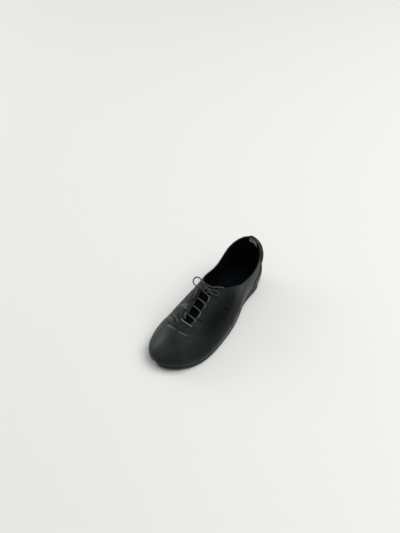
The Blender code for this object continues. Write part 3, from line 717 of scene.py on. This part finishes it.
for cord_name, route in LACE_ROUTES.items():
    going = [knot] if cord_name == "lace_loop_inner" else []
    loose_end = "_end_" in cord_name
    route = (into_knot(route[0]),) + route
    if not loose_end:
        route = route + (into_knot(route[-1]),)
    points = route_points(route, LACE_STEP)
    if loose_end:
        count = int(AGLET_LENGTH / LACE_STEP)
        tip = points[-count:]
        bm = bmesh.new()
        reach = np.full(len(tip), LACE_RADIUS * 1.07)
        reach[0] = LACE_RADIUS * 0.98
        reach[-1] = LACE_RADIUS * 0.75
        sweep(bm, tube_sections(tip, reach, LACE_SIDES))
        going.append(piece(cord_name.replace("lace", "aglet"), bm, ["aglet"]))
    lace = lace_body(cord_name + "_braid", [points], [cord_name])
    run = points + np.array(SHIFT)
    float(length_along(points)[-1])

# Lace crossings: out from under the inner edge, over the outer edge and into the eyelets;
# each with the places of these three along the shoe in millimetres
CROSSINGS = ((-8.8, -11.4, -17.2), (-19.6, -22.0, -28.0), (-31.1, -34.3, -43.6), (-45.9, -49.2, -52.6))
EYELET_OUT = 10.2
EYELET_IN = -11.0


def over_upper(stops):
    """Lace's points through (x, y, lift) stops in millimetres over the upper."""
    points = [upper_at(x * MM, y * MM, lift * MM)[0] for x, y, lift in stops]
    return route_points(points, LACE_STEP)


crossing_routes = []
for inner, outer, eyelet in CROSSINGS:
    stops = [
        (-10.2, inner + 0.3, -2.5), (-8.2, inner, -1.9), (-5.0, inner * 0.8 + outer * 0.2, -0.75),
        (0.0, (inner + outer) / 2.0, -0.45), (5.0, inner * 0.2 + outer * 0.8, -0.30),
        (7.6, outer, 0.75), (9.2, outer - 0.7, 1.15),
    ]
    if outer - eyelet > 3.0:
        stops += [(EYELET_OUT - 0.3, outer - 2.4, 1.12), (EYELET_OUT, eyelet + 2.2, 1.10)]
    stops += [(EYELET_OUT, eyelet + 0.5, 0.45), (EYELET_OUT, eyelet - 0.2, -1.2)]
    crossing_routes.append(over_upper(stops))
# Run over the slot's front, then the strands between eyelets, in millimetres
FRONT_RUN = (
    (-10.6, -58.0, -1.2), (-9.2, -58.9, 0.7), (-7.1, -59.8, 1.1), (0.5, -61.0, 1.2), (7.4, -61.4, 1.15),
    (9.6, -61.2, 0.8), (EYELET_OUT + 0.3, -61.4, -1.2),
)
STRANDS = (
    ((EYELET_IN, -45.6, -1.2), (EYELET_IN + 0.4, -46.4, 0.75), (-9.4, -48.4, 1.10),
     (-8.2, -51.2, 0.95), (-6.8, -53.2, -0.5), (-5.6, -54.4, -1.6)),
    ((EYELET_IN, -5.2, -1.2), (EYELET_IN + 1.0, -5.4, 0.7), (-8.6, -5.3, 1.2), (-6.2, -4.8, 1.3)),
    ((EYELET_OUT, -6.6, -1.2), (EYELET_OUT - 0.8, -6.2, 0.75), (7.4, -5.6, 1.15), (3.6, -5.0, 0.9),
     (0.4, -4.4, 0.9)),
)
crossing_routes += [over_upper(stops) for stops in STRANDS]
# The crossings and the front run take paler copies of the lace's colour, as painted highlights.
lace_body("lace_crossings", crossing_routes, ["lace_bars"], "lace_crossing_highlit")
lace_body("lace_front_run", [over_upper(FRONT_RUN)], [], "lace_front_highlit")

# Creases of the worn leather, as picked on the shoe: half width and lift in millimetres, how far the colour
# is painted lighter as a highlight on the ridge (plus) or darker as shade in the trough (minus), and points
# in millimetres
Crease = namedtuple("Crease", "half lift rubbed points")
CREASES = [Crease(*row) for row in (
    (1.3, 0.98, 1.14, ((-26, -72.5, 36), (-21.5, -74.9, 38.2), (-12.2, -76.9, 40.6), (-4.2, -78.5, 41.5))),
    (1.3, 0.72, 0.76, ((-3.1, -79.3, 41.5), (6.4, -78.6, 41.3), (14, -76.9, 40), (19, -76, 38.6))),
    (1.2, -0.85, -0.75, ((-31, -66, 34.5), (-22.6, -70.3, 38.7), (-12.1, -73.2, 41.2),
        (-1.3, -74, 42.2), (8, -73.4, 42))),
    (1.3, 0.91, 0.76, ((-38.5, -53, 29.5), (-34.1, -57.6, 34.3), (-25.6, -62.8, 39), (-18.9, -65.8, 41))),
    (1.2, 0.65, 0.57, ((-33.5, -50.5, 36), (-28.4, -54.7, 39.3), (-17.1, -60.3, 42.5),
        (-7.9, -67.7, 42.8))),
    (1.1, -0.72, -0.68, ((-38, -48.5, 31), (-33.8, -52.6, 35.6), (-21.4, -59.4, 41.5), (-13, -66, 42.3))),
    (1.4, 0.78, 0.76, ((-33.9, -38.6, 38.3), (-27.8, -36.7, 44.5), (-19.6, -34.8, 48.9),
        (-13.5, -33.5, 51))),
    (1.2, 0.59, 0.66, ((-21.9, -36.7, 47.5), (-16.5, -38.6, 48.4), (-12.5, -40.1, 48.4))),
    (1.4, 0.72, 0.47, ((-33.1, -32, 40.6), (-25.7, -29.2, 48.4), (-13.4, -23.4, 55.9))),
    (1.2, -0.72, -0.68, ((-34, -31, 40), (-29.5, -31.5, 44.8), (-20.9, -27, 52.3), (-13.5, -26.5, 54.3))),
    (1.3, 0.65, 0.47, ((-28.9, -23.4, 47.6), (-26.5, -19.6, 51.4), (-18.4, -18.6, 57.3))),
    (1.1, -0.59, -0.52, ((-32, -24.5, 43), (-28, -17.5, 49), (-19.5, -15.5, 57))),
    (2.4, -0.60, -0.35, ((-22, -52, 43.5), (-18.4, -52.5, 44.3), (-15, -53, 45))),
    (1.1, -0.60, -0.40, ((15, -6.9, 66), (18, -6.9, 63), (30.1, -6.9, 51.9), (35.7, -3.9, 43.9))),
    (1.3, 0.45, 0.15, ((24, -5, 59), (31, -3.9, 52), (38.7, 2.9, 37.8), (42, 10, 27))),
    (1.1, -0.50, -0.95, ((11.6, -45.9, 46.2), (15.6, -45.2, 45.4), (20.2, -44.4, 43.9))),
    (0.9, -0.35, -0.70, ((-19.6, -39.9, 47.2), (-16, -42, 47.5), (-12.6, -44, 47.3))),
    (1.4, -0.30, -0.10, ((20.2, -44.4, 43.9), (26, -42, 41.3), (31, -39.4, 38.3))),
    (1.3, -0.40, -0.10, ((21, -53.4, 41.4), (28.6, -53.1, 37.2), (36, -48.4, 31.6))),
    (1.6, 0.35, 0.05, ((15, -58.5, 42.6), (26, -60, 37), (34, -56, 30))),
)]
# Broad patches of painted highlights and reflections (plus) and of painted shade (minus, on the outer
# side): half width in millimetres, amount, place in millimetres
Patch = namedtuple("Patch", "half amount place")
LIGHT_AND_SHADE_PATCHES = [Patch(*row) for row in (
    (16, 0.17, (-17, -104, 31)), (13, 0.08, (-22, -84, 36)), (13, 0.06, (-30, -62, 37)),
    (11, 0.08, (-34, -37, 38)), (19, -0.35, (32, -76, 31)), (20, -0.65, (36, -48, 33)),
    (19, -0.80, (36, -18, 40)), (20, -0.85, (34, 10, 49)), (12, 0.10, (32, 62, 33)),
    (15, 0.23, (31, 82, 38)), (7, 0.12, (47.2, -26, 13.5)), (6.5, 0.23, (-20.5, -36.5, 48.5)),
    (6, 0.12, (-28, -57, 40)), (14, -0.40, (25, -36, 47)),
)]
# Painted glint: a pale patch on the sole's edge at the toe
SOLE_GLINT_PATCHES = (Patch(5.5, 1.0, (-12.5, -123.8, 8.0)),)
WAVE_HEIGHT = 0.14 * MM
EYELET_DIMPLE = 0.45 * MM
EYELET_DIMPLE_RADIUS = 2.2 * MM
OUTER_EYELETS_Y = [eyelet for _, _, eyelet in CROSSINGS] + [-61.3, -6.6]
INNER_EYELETS_Y = (-5.4, -16.8, -28.4, -40.2, -46.0, -58.8)
EYELETS = [upper_at(x * MM, y * MM, 0.0)
           for x, places in ((EYELET_OUT, OUTER_EYELETS_Y), (EYELET_IN, INNER_EYELETS_Y)) for y in places]


def crease_shares(points):
    """Each crease with how much of it is felt at each point, from 0 to 1."""
    for crease in CREASES:
        line = route_points(np.array(crease.points) * MM, 0.0012)
        away = norm(points[:, None] - line[None], axis=2)
        share = away.argmin(axis=1) / (len(line) - 1)
        fade = 0.10 + 0.90 * ease(share / 0.25) * ease((1.0 - share) / 0.25)
        yield crease, fade * np.exp(-(away.min(axis=1) / (crease.half * MM)) ** 2)


def crease_lift(points):
    """How far the leather stands out at each point: creases, eyelet dimples and slow waves."""
    lift = np.zeros(len(points))
    for crease, share in crease_shares(points):
        lift += crease.lift * MM * share
    for place, _ in EYELETS:
        away = norm(points - place, axis=1)
        lift -= EYELET_DIMPLE * np.exp(-(away / EYELET_DIMPLE_RADIUS) ** 2)
    x, y, z = (points / MM).T
    wave = (np.sin(x * 0.21 + y * 0.13 + 0.7) * np.sin(y * 0.17 - z * 0.11)
            + 0.6 * np.sin(x * 0.33 - y * 0.27 + z * 0.23 + 1.9))
    return lift + WAVE_HEIGHT * wave


def mark_light_and_shade(bm, patches=LIGHT_AND_SHADE_PATCHES):
    """Store at each point how far its colour is painted lighter as a highlight or darker as shade."""
    points = np.array([vert.co for vert in bm.verts])
    marks = sum(crease.rubbed * share ** 1.6 for crease, share in crease_shares(points))
    for patch in patches:
        away = norm(points - np.array(patch.place) * MM, axis=1)
        marks += patch.amount * np.exp(-(away / (patch.half * MM)) ** 2)
    layer = bm.verts.layers.float.new("light_shade_mark")
    for vert, mark in zip(bm.verts, marks):
        vert[layer] = mark


WALL_ROWS = 66
VAMP_ROWS = 26
COLUMNS = {"back": 90, "slot": 60, "toe": 84}
FOOT_ROWS = 0.1
FOOT_FADE = 0.12


def upper_grid(side, first, last, edge_climb):
    """Placing of one stretch of the upper; its foot takes the first share of the rows."""
    def place(u, w):
        walk = side * (first + (last - first) * u)
        low = climb_to_height(walk, FEATHER_ROUND)
        top = edge_climb(walk)
        wall = (w - FOOT_ROWS) / (1.0 - FOOT_ROWS)
        return creased(walk, np.where(w < FOOT_ROWS, w / FOOT_ROWS * low, low + (top - low) * wall))
    return place


def crest_outward(walk):
    """Outward direction at the end of a rib, the same for both sides of the foot."""
    size = np.minimum(np.abs(walk), 1.0 - WALK_STEP)
    run = last_point(size + WALK_STEP, 1.0) - last_point(size - WALK_STEP, 1.0)
    normal = np.stack([0.0 * size, run[..., 2], -run[..., 1]], axis=-1)
    return normal / norm(normal, axis=-1, keepdims=True)


def creased(walk, climb):
    """Points of the upper with its creases, which fade at its foot; both sides meet on the crest."""
    points = last_point(walk, climb)
    near = ease((climb - 0.93) / 0.07)[:, None]
    outward = last_outward(walk, np.minimum(climb, 0.993)) * (1.0 - near) + crest_outward(walk) * near
    return points + outward * (crease_lift(points) * ease(climb / FOOT_FADE))[:, None]


def toe_edge(side):
    """Climb of the row that runs on from the slot's edge to the toe."""
    own = climb_to_side(np.array(FRONT_WALK * side), SLOT_FRONT_WIDTH / 2.0)
    other = climb_to_side(np.array(-FRONT_WALK * side), SLOT_FRONT_WIDTH / 2.0)

    def climb(walk):
        share = np.clip((np.abs(walk) - FRONT_WALK) / (1.0 - FRONT_WALK), 0.0, 1.0)
        return own + ((own + other) / 2.0 - own) * share

    return climb


def make_upper():
    """The upper's whole wall, from four stretches a side."""
    bm = bmesh.new()
    for side in (1.0, -1.0):
        rim = toe_edge(side)
        lay_grid(bm, COLUMNS["back"], WALL_ROWS, upper_grid(side, 0.0, THROAT_WALK, collar_climb))
        lay_grid(bm, COLUMNS["slot"], WALL_ROWS, upper_grid(side, THROAT_WALK, FRONT_WALK, slot_climb))
        lay_grid(bm, COLUMNS["toe"], WALL_ROWS, upper_grid(side, FRONT_WALK, 1.0, rim))

        def vamp(u, w):
            walk = side * (FRONT_WALK + (1.0 - FRONT_WALK) * u)
            return creased(walk, rim(walk) + (1.0 - rim(walk)) * w)

        lay_grid(bm, COLUMNS["toe"], VAMP_ROWS, vamp)
    bmesh.ops.remove_doubles(bm, verts=bm.verts, dist=1e-5)
    bmesh.ops.dissolve_degenerate(bm, dist=3e-5, edges=bm.edges)
    bmesh.ops.recalc_face_normals(bm, faces=bm.faces)
    mark_light_and_shade(bm)
    upper = piece("upper_skin", bm, ["upper_leather", "lining", "edge_leather"],
                  ["upper"], up=away_from_foot, sharp=70)
    wall = thicken(upper, UPPER_WALL, -1.0)
    wall.material_offset = 1
    wall.material_offset_rim = 2


make_upper()

# Rolled edge along the collar and round the slot
BEAD_RADIUS = 0.00086
BEAD_SINK = 0.0008


def edge_loop():
    """Closed path just inside the upper's edge, in the middle of its wall."""
    lift = -UPPER_WALL / 2.0
    half = SLOT_FRONT_WIDTH / 2.0 + BEAD_SINK
    collar = np.linspace(-THROAT_WALK, THROAT_WALK, 260)
    sink = BEAD_SINK / (INSTEP_HEIGHT * 1.2)
    line = [shell_point(walk, collar_climb(walk) - sink, lift) for walk in collar]
    slot = np.linspace(THROAT_WALK, FRONT_WALK, 80)[1:]
    line += [shell_point(walk, slot_climb(walk, BEAD_SINK), lift) for walk in slot]
    front = upper_at(half, (0.5 - SLOT_FRONT_ALONG) * SHOE_LENGTH, 0.0)[0][1] - BEAD_SINK
    line += [upper_at(x, front, lift)[0] for x in np.linspace(half, -half, 24)[1:-1]]
    line += [shell_point(-walk, slot_climb(-walk, BEAD_SINK), lift) for walk in slot[::-1]]
    line = np.array(line)
    for _ in range(10):
        line = (np.roll(line, 1, axis=0) + 2.0 * line + np.roll(line, -1, axis=0)) / 4.0
    return line


bead = bmesh.new()
sweep(bead, tube_sections(edge_loop(), BEAD_RADIUS, 12, ring=True), ring=True)
piece("rolled_edge", bead, ["edge_leather"])

# Stitches
STITCH_PITCH = 0.0024
STITCH_SIZE = (0.0017, 0.00050, 0.00036)
SEAM_DROP = 0.0034
SEAM_BACK = 0.0062
SEAM_LIFT = 0.00012


def add_pill(bm, here, run, up, size):
    """A rounded body at a point: size along the run, across it and up."""
    made = bmesh.ops.create_uvsphere(bm, u_segments=8, v_segments=6, radius=0.5)["verts"]
    turn = Matrix((run, up.cross(run).normalized(), up)).transposed().to_4x4()
    place = Matrix.Translation(here) @ turn @ Matrix.Diagonal((*size, 1.0))
    bmesh.ops.transform(bm, verts=made, matrix=place)


def add_stitches(bm, points, normals):
    """A row of thread stitches along a path on the leather."""
    length = length_along(points)
    places = np.arange(STITCH_PITCH / 2.0, length[-1], STITCH_PITCH)
    for place in places:
        here, ahead = (Vector([np.interp(s, length, points[:, k]) for k in range(3)])
                       for s in (place, place + STITCH_PITCH * 0.3))
        up = Vector([np.interp(place, length, normals[:, k]) for k in range(3)]).normalized()
        add_pill(bm, here, (ahead - here).normalized(), up, STITCH_SIZE)


def surface_row(walks, climbs, lift):
    """Points and outward directions of a row on the upper."""
    points = last_point(walks, climbs)
    normals = last_outward(walks, climbs)
    return points + normals * (crease_lift(points) * ease(climbs / FOOT_FADE) + lift)[:, None], normals


stitches = bmesh.new()
collar_walks = np.linspace(-THROAT_WALK * 0.985, THROAT_WALK * 0.985, 240)
below = below_collar(collar_walks, SEAM_DROP)
for part in (collar_walks < BACK_SEAM - BAND_REACH, collar_walks > BACK_SEAM + BAND_REACH):
    add_stitches(stitches, *surface_row(collar_walks[part], below[part], SEAM_LIFT))
slot_walks = np.linspace(THROAT_WALK * 1.01, FRONT_WALK, 60)
for walks in (slot_walks, -slot_walks):
    add_stitches(stitches, *surface_row(walks, slot_climb(walks, SEAM_BACK), SEAM_LIFT))
piece("seam_stitches", stitches, ["thread"])

# Painted shadows: flat near-black dashes laid on the leather by the eyelets and on the outer side, where
# shade lies in the folds: both ends in plan, in millimetres, and the width
SHADOW_DASH_THICKNESS = 0.0006
SHADOW_DASHES = (((11.8, -46.4), (19.4, -44.9), 0.0018), ((33.0, -5.4), (37.6, -1.6), 0.0016),
         ((-18.2, -40.8), (-13.6, -43.4), 0.0010))
shadow_dash_bodies = bmesh.new()
for first, last, width in SHADOW_DASHES:
    ends = [Vector(upper_at(x * MM, y * MM, 0.0)[0]) for x, y in (first, last)]
    middle = [(first[i] + last[i]) / 2.0 * MM for i in (0, 1)]
    here, up = upper_at(*middle, 0.0)
    here = here + up * (crease_lift(here[None])[0] + 0.00005)
    run = ends[1] - ends[0]
    up = Vector(up)
    up = (up - run.normalized() * up.dot(run.normalized())).normalized()
    add_pill(shadow_dash_bodies, Vector(here), run.normalized(), up, (run.length, width, SHADOW_DASH_THICKNESS))
piece("painted_shadow_dashes", shadow_dash_bodies, ["tuck"])

# Eyelets
EYELET_RADIUS = 0.0016
EYELET_RIM = 0.00034
eyelets = bmesh.new()
for place, normal in EYELETS:
    lifted = np.array(place) + normal * (crease_lift(place[None])[0] + 0.00010)
    first = np.cross(normal, (0.0, 1.0, 0.0))
    first /= norm(first)
    second = np.cross(normal, first)
    turn = np.linspace(0.0, math.tau, 25)[:-1, None]
    circle = lifted + (np.cos(turn) * first + np.sin(turn) * second) * EYELET_RADIUS
    add_sweep(eyelets, tube_sections(circle, EYELET_RIM, 8, ring=True), ring=True)
piece("eyelet_rims", eyelets, ["edge_leather"])


# Tongue
def make_tongue():
    """Thin tongue under the slot, with rounded edges."""
    first, last = walk_of(TONGUE_TOP_ALONG), walk_of(TONGUE_FRONT_ALONG)

    def place(u, w):
        points = []
        for share, across in zip(u, w - 0.5):
            walk = first + (last - first) * share
            width = TONGUE_TOP_WIDTH + (TONGUE_WIDTH - TONGUE_TOP_WIDTH) * share
            side = 1.0 if across >= 0.0 else -1.0
            sag = TONGUE_TOP_SAG * (1.0 - ease(share * 2.0))
            climb = float(climb_to_side(np.array(walk * side), abs(across) * width))
            points.append(shell_point(walk * side, min(climb, 0.999), -UPPER_WALL - TONGUE_GAP - sag))
        return points

    bm = bmesh.new()
    lay_grid(bm, 72, 40, place)
    tongue = piece("tongue_leather", bm, ["tongue_leather"], ["tongue"],
                   up=lambda point: Vector((0.0, 0.0, 1.0)))
    thicken(tongue, TONGUE_WALL, -1.0, EDGE_ROUNDING, 2)


make_tongue()


# Sole, heel and insole
def floor_height(along):
    """Height of the floor, for every share of the length."""
    return 0.0 * along


def sole_section(walk, rings):
    """Closed section across the sole through rings of (inset, base, rise) on both sides."""
    points = []
    for side, order in ((1, rings), (-1, rings[::-1])):
        edge, _ = foot_edge(walk * side)
        outward = edge_outward(walk * side)
        for inset, base, rise in order:
            plan = edge - outward * inset
            own_along = np.clip(0.5 - plan[1] / SHOE_LENGTH, 0.0, 1.0)
            points.append((plan[0], plan[1], base(own_along) + rise))
    return points


def make_layer(name, walks, rings, finish, node, patches=()):
    """Layer of the sole through its rings at each walk."""
    bm = bmesh.new()
    sweep(bm, [sole_section(walk, rings) for walk in walks])
    if patches:
        mark_light_and_shade(bm, patches)
    piece(name, bm, [finish], [node], sharp=60)


# Walks from heel to toe, close together at both ends
DENSE_WALKS = np.concatenate([np.linspace(0.0, 0.03, 7)[:-1], np.linspace(0.03, 0.97, 130)[:-1],
                              np.linspace(0.97, 1.0, 7)])
HEEL_WALKS = np.linspace(0.0, walk_of(HEEL_BREAST_ALONG), 48)
R = SOLE_EDGE_ROUND
T = SOLE_THICKNESS
H = HEEL_INSET
LOW_INSET = FEATHER_ROUND + UPPER_WALL + INSOLE_GAP
HIGH_INSET = UPPER_WALL + INSOLE_GAP
make_layer("sole_leather", DENSE_WALKS, (
    (2.4 * R, sole_bottom, 0.0), (1.0 * R, sole_bottom, 0.25 * R), (0.35 * R, sole_bottom, R),
    (0.1 * R, sole_bottom, 0.44 * T), (0.42 * R, sole_bottom, 0.50 * T), (0.1 * R, sole_bottom, 0.56 * T),
    (0.0, sole_bottom, T - R), (0.3 * R, sole_bottom, T - 0.3 * R), (R, sole_bottom, T),
), "sole", "outsole", SOLE_GLINT_PATCHES)
make_layer("heel_block", HEEL_WALKS, (
    (H + 1.8 * R, floor_height, 0.0), (H + 0.8 * R, floor_height, 0.5 * R),
    (H + 0.4 * R, floor_height, 1.2 * R), (H + 0.2 * R, floor_height, 0.0050),
    (H + 0.7 * R, floor_height, 0.0053), (H + 0.2 * R, floor_height, 0.0056), (H, sole_bottom, -GAP),
), "heel_rubber", "heel")
make_layer("insole_sock", DENSE_WALKS[2:-2], (
    (LOW_INSET, feather_height, 0.0), (HIGH_INSET + 0.0003, feather_height, INSOLE_THICKNESS * 0.6),
    (HIGH_INSET + 0.0002, feather_height, INSOLE_THICKNESS * 0.9),
    (HIGH_INSET + 0.0008, feather_height, INSOLE_THICKNESS),
), "lining", "insole")


# Heel pieces
COUNTER_EDGE_SINK = 0.00045
COUNTER_SEAM_INSET = 0.008
COUNTER_SEAM_END = 0.002
BAND_EDGE = 0.0004
TAB_RIBS = ((0.0020, 0.0008), (0.0062, 0.0010), (0.0092, 0.0004))


def make_counter():
    """Counter leather round the outside of the heel, with a stitched edge."""
    first, last = BACK_SEAM - COUNTER_REACH, BACK_SEAM + COUNTER_REACH

    def place(u, w):
        walk = first + (last - first) * u
        low = climb_to_height(walk, np.full(len(walk), FEATHER_ROUND + GAP))
        high = below_collar(walk, BAND_DROP + BAND_HEIGHT + GAP)
        climb = low + (high - low) * w
        edge = np.minimum(np.minimum(u, 1.0 - u) * 12.0, np.minimum(w, 1.0 - w) * 6.0)
        sink = (COUNTER_EDGE_SINK * (1.0 - ease(edge)))[:, None]
        return shell_point(walk, climb, OVERLAY_GAP) - last_outward(walk, climb) * sink

    bm = bmesh.new()
    lay_grid(bm, 110, 34, place)
    mark_light_and_shade(bm)
    counter = piece("counter_leather", bm, ["upper_leather"], ["heel_counter"],
                    up=away_from_foot)
    thicken(counter, COUNTER_WALL, 1.0, EDGE_ROUNDING, 3)
    rows = bmesh.new()
    lift = OVERLAY_GAP + COUNTER_WALL + 0.0001
    for walk in (first + COUNTER_SEAM_INSET, last - COUNTER_SEAM_INSET):
        low = float(climb_to_height(np.array(walk), np.array(FEATHER_ROUND + COUNTER_SEAM_END)))
        high = float(below_collar(np.array(walk), BAND_DROP + BAND_HEIGHT + COUNTER_SEAM_END))
        climbs = np.linspace(low, high, 40)
        walks = np.full(40, walk)
        add_stitches(rows, shell_point(walks, climbs, lift), last_outward(walks, climbs))
    piece("counter_stitches", rows, ["thread"])


def make_band():
    """Padded band: a pillow of leather round the back of the collar."""
    walks = BACK_SEAM + np.linspace(-BAND_REACH, BAND_REACH, 90)
    turn = np.linspace(0.0, math.pi, 15)
    spread = np.concatenate([-np.cos(turn), np.linspace(0.98, -0.98, 8)[1:-1]])
    puff = np.concatenate([np.sin(turn) ** 0.55, np.zeros(6)])
    sections = []
    for walk in walks:
        share = (walk - BACK_SEAM) / BAND_REACH
        full = max(1.0 - abs(share) ** 6, 0.0) ** 0.4
        high = collar_height(walk) - BAND_DROP
        heights = high - BAND_HEIGHT / 2.0 + BAND_HEIGHT / 2.0 * spread
        lifts = GAP + (BAND_EDGE + (BAND_WALL - BAND_EDGE) * full) * puff
        climbs = climb_to_height(np.full(len(heights), walk), heights)
        sections.append(shell_point(np.full(len(heights), walk), climbs, lifts))
    bm = bmesh.new()
    sweep(bm, sections)
    piece("band_leather", bm, ["upper_leather"], ["heel_band"], sharp=70)


def make_tab():
    """Pull tab over the collar's back edge, with ribs along its inside, coloured pale as a painted glint.
    """
    walks = BACK_SEAM + np.linspace(-TAB_REACH, TAB_REACH, 36)
    inside = -UPPER_WALL - 1.5 * GAP
    over = OVERLAY_GAP
    outline = np.array((
        (GAP, -BAND_DROP + GAP), (GAP, 0.0), (GAP, over), (inside, over), (inside, 0.0),
        (inside, -TAB_DEPTH_INSIDE / 2.0), (inside, -TAB_DEPTH_INSIDE),
        (inside - TAB_WALL, -TAB_DEPTH_INSIDE), (inside - TAB_WALL, -TAB_DEPTH_INSIDE / 2.0),
        (inside - TAB_WALL, 0.0), (inside - TAB_WALL / 2.0, over + TAB_WALL * 0.8),
        (inside / 2.0, over + TAB_WALL), (GAP + TAB_WALL / 2.0, over + TAB_WALL * 0.8),
        (GAP + TAB_WALL, 0.0), (GAP + TAB_WALL, -BAND_DROP + GAP),
    ))
    rims = [shell_point(walks, below_collar(walks, -rise), lift) for lift, rise in outline]
    bm = bmesh.new()
    sweep(bm, np.stack(rims, axis=1))
    piece("tab_leather", bm, ["lining_leather"], ["heel_tab"], sharp=60)
    ribs = bmesh.new()
    walks = walks[2:-2]
    for depth, radius in TAB_RIBS:
        line = shell_point(walks, below_collar(walks, depth), inside - TAB_WALL)
        add_sweep(ribs, tube_sections(line, radius, 8))
    piece("tab_ribs", ribs, ["tab_rib_glint"])


make_counter()
make_band()
make_tab()

# Floor and light
floor_mesh = bpy.data.meshes.new("floor")
bm = bmesh.new()
bmesh.ops.create_grid(bm, x_segments=1, y_segments=1, size=6.0)
bm.to_mesh(floor_mesh)
bm.free()
floor = new_object("floor", floor_mesh)
floor_finish = bpy.data.materials.new("pale_floor")
floor_finish.use_nodes = True
floor_shader = floor_finish.node_tree.nodes["Principled BSDF"]
floor_shader.inputs["Base Color"].default_value = (0.80, 0.80, 0.765, 1.0)
floor_shader.inputs["Roughness"].default_value = 0.55
floor_mesh.materials.append(floor_finish)

world = bpy.data.worlds.new("studio")
bpy.context.scene.world = world
world.use_nodes = True
sky = world.node_tree.nodes["Background"]
sky.inputs["Color"].default_value = (0.96, 0.98, 1.0, 1.0)
sky.inputs["Strength"].default_value = 0.38


def area_light(name, place, size, power, glossy=True):
    """Soft rectangular light that looks at the shoe, seen in its gloss or not."""
    data = bpy.data.lights.new(name, "AREA")
    data.shape = "RECTANGLE"
    data.size, data.size_y = size
    data.energy = power
    light = new_object(name, data)
    light.location = place
    light.rotation_euler = (-Vector(place)).to_track_quat("-Z", "Y").to_euler()
    light.visible_glossy = glossy


area_light("top", (1.0, 0.5, 2.5), (2.8, 2.8), 38.0)
area_light("back", (1.0, 1.3, 2.2), (1.8, 1.8), 30.0, glossy=False)
area_light("window", (-2.0, -0.1, 0.8), (1.3, 1.0), 12.0)
bpy.context.scene.view_settings.view_transform = "Standard"
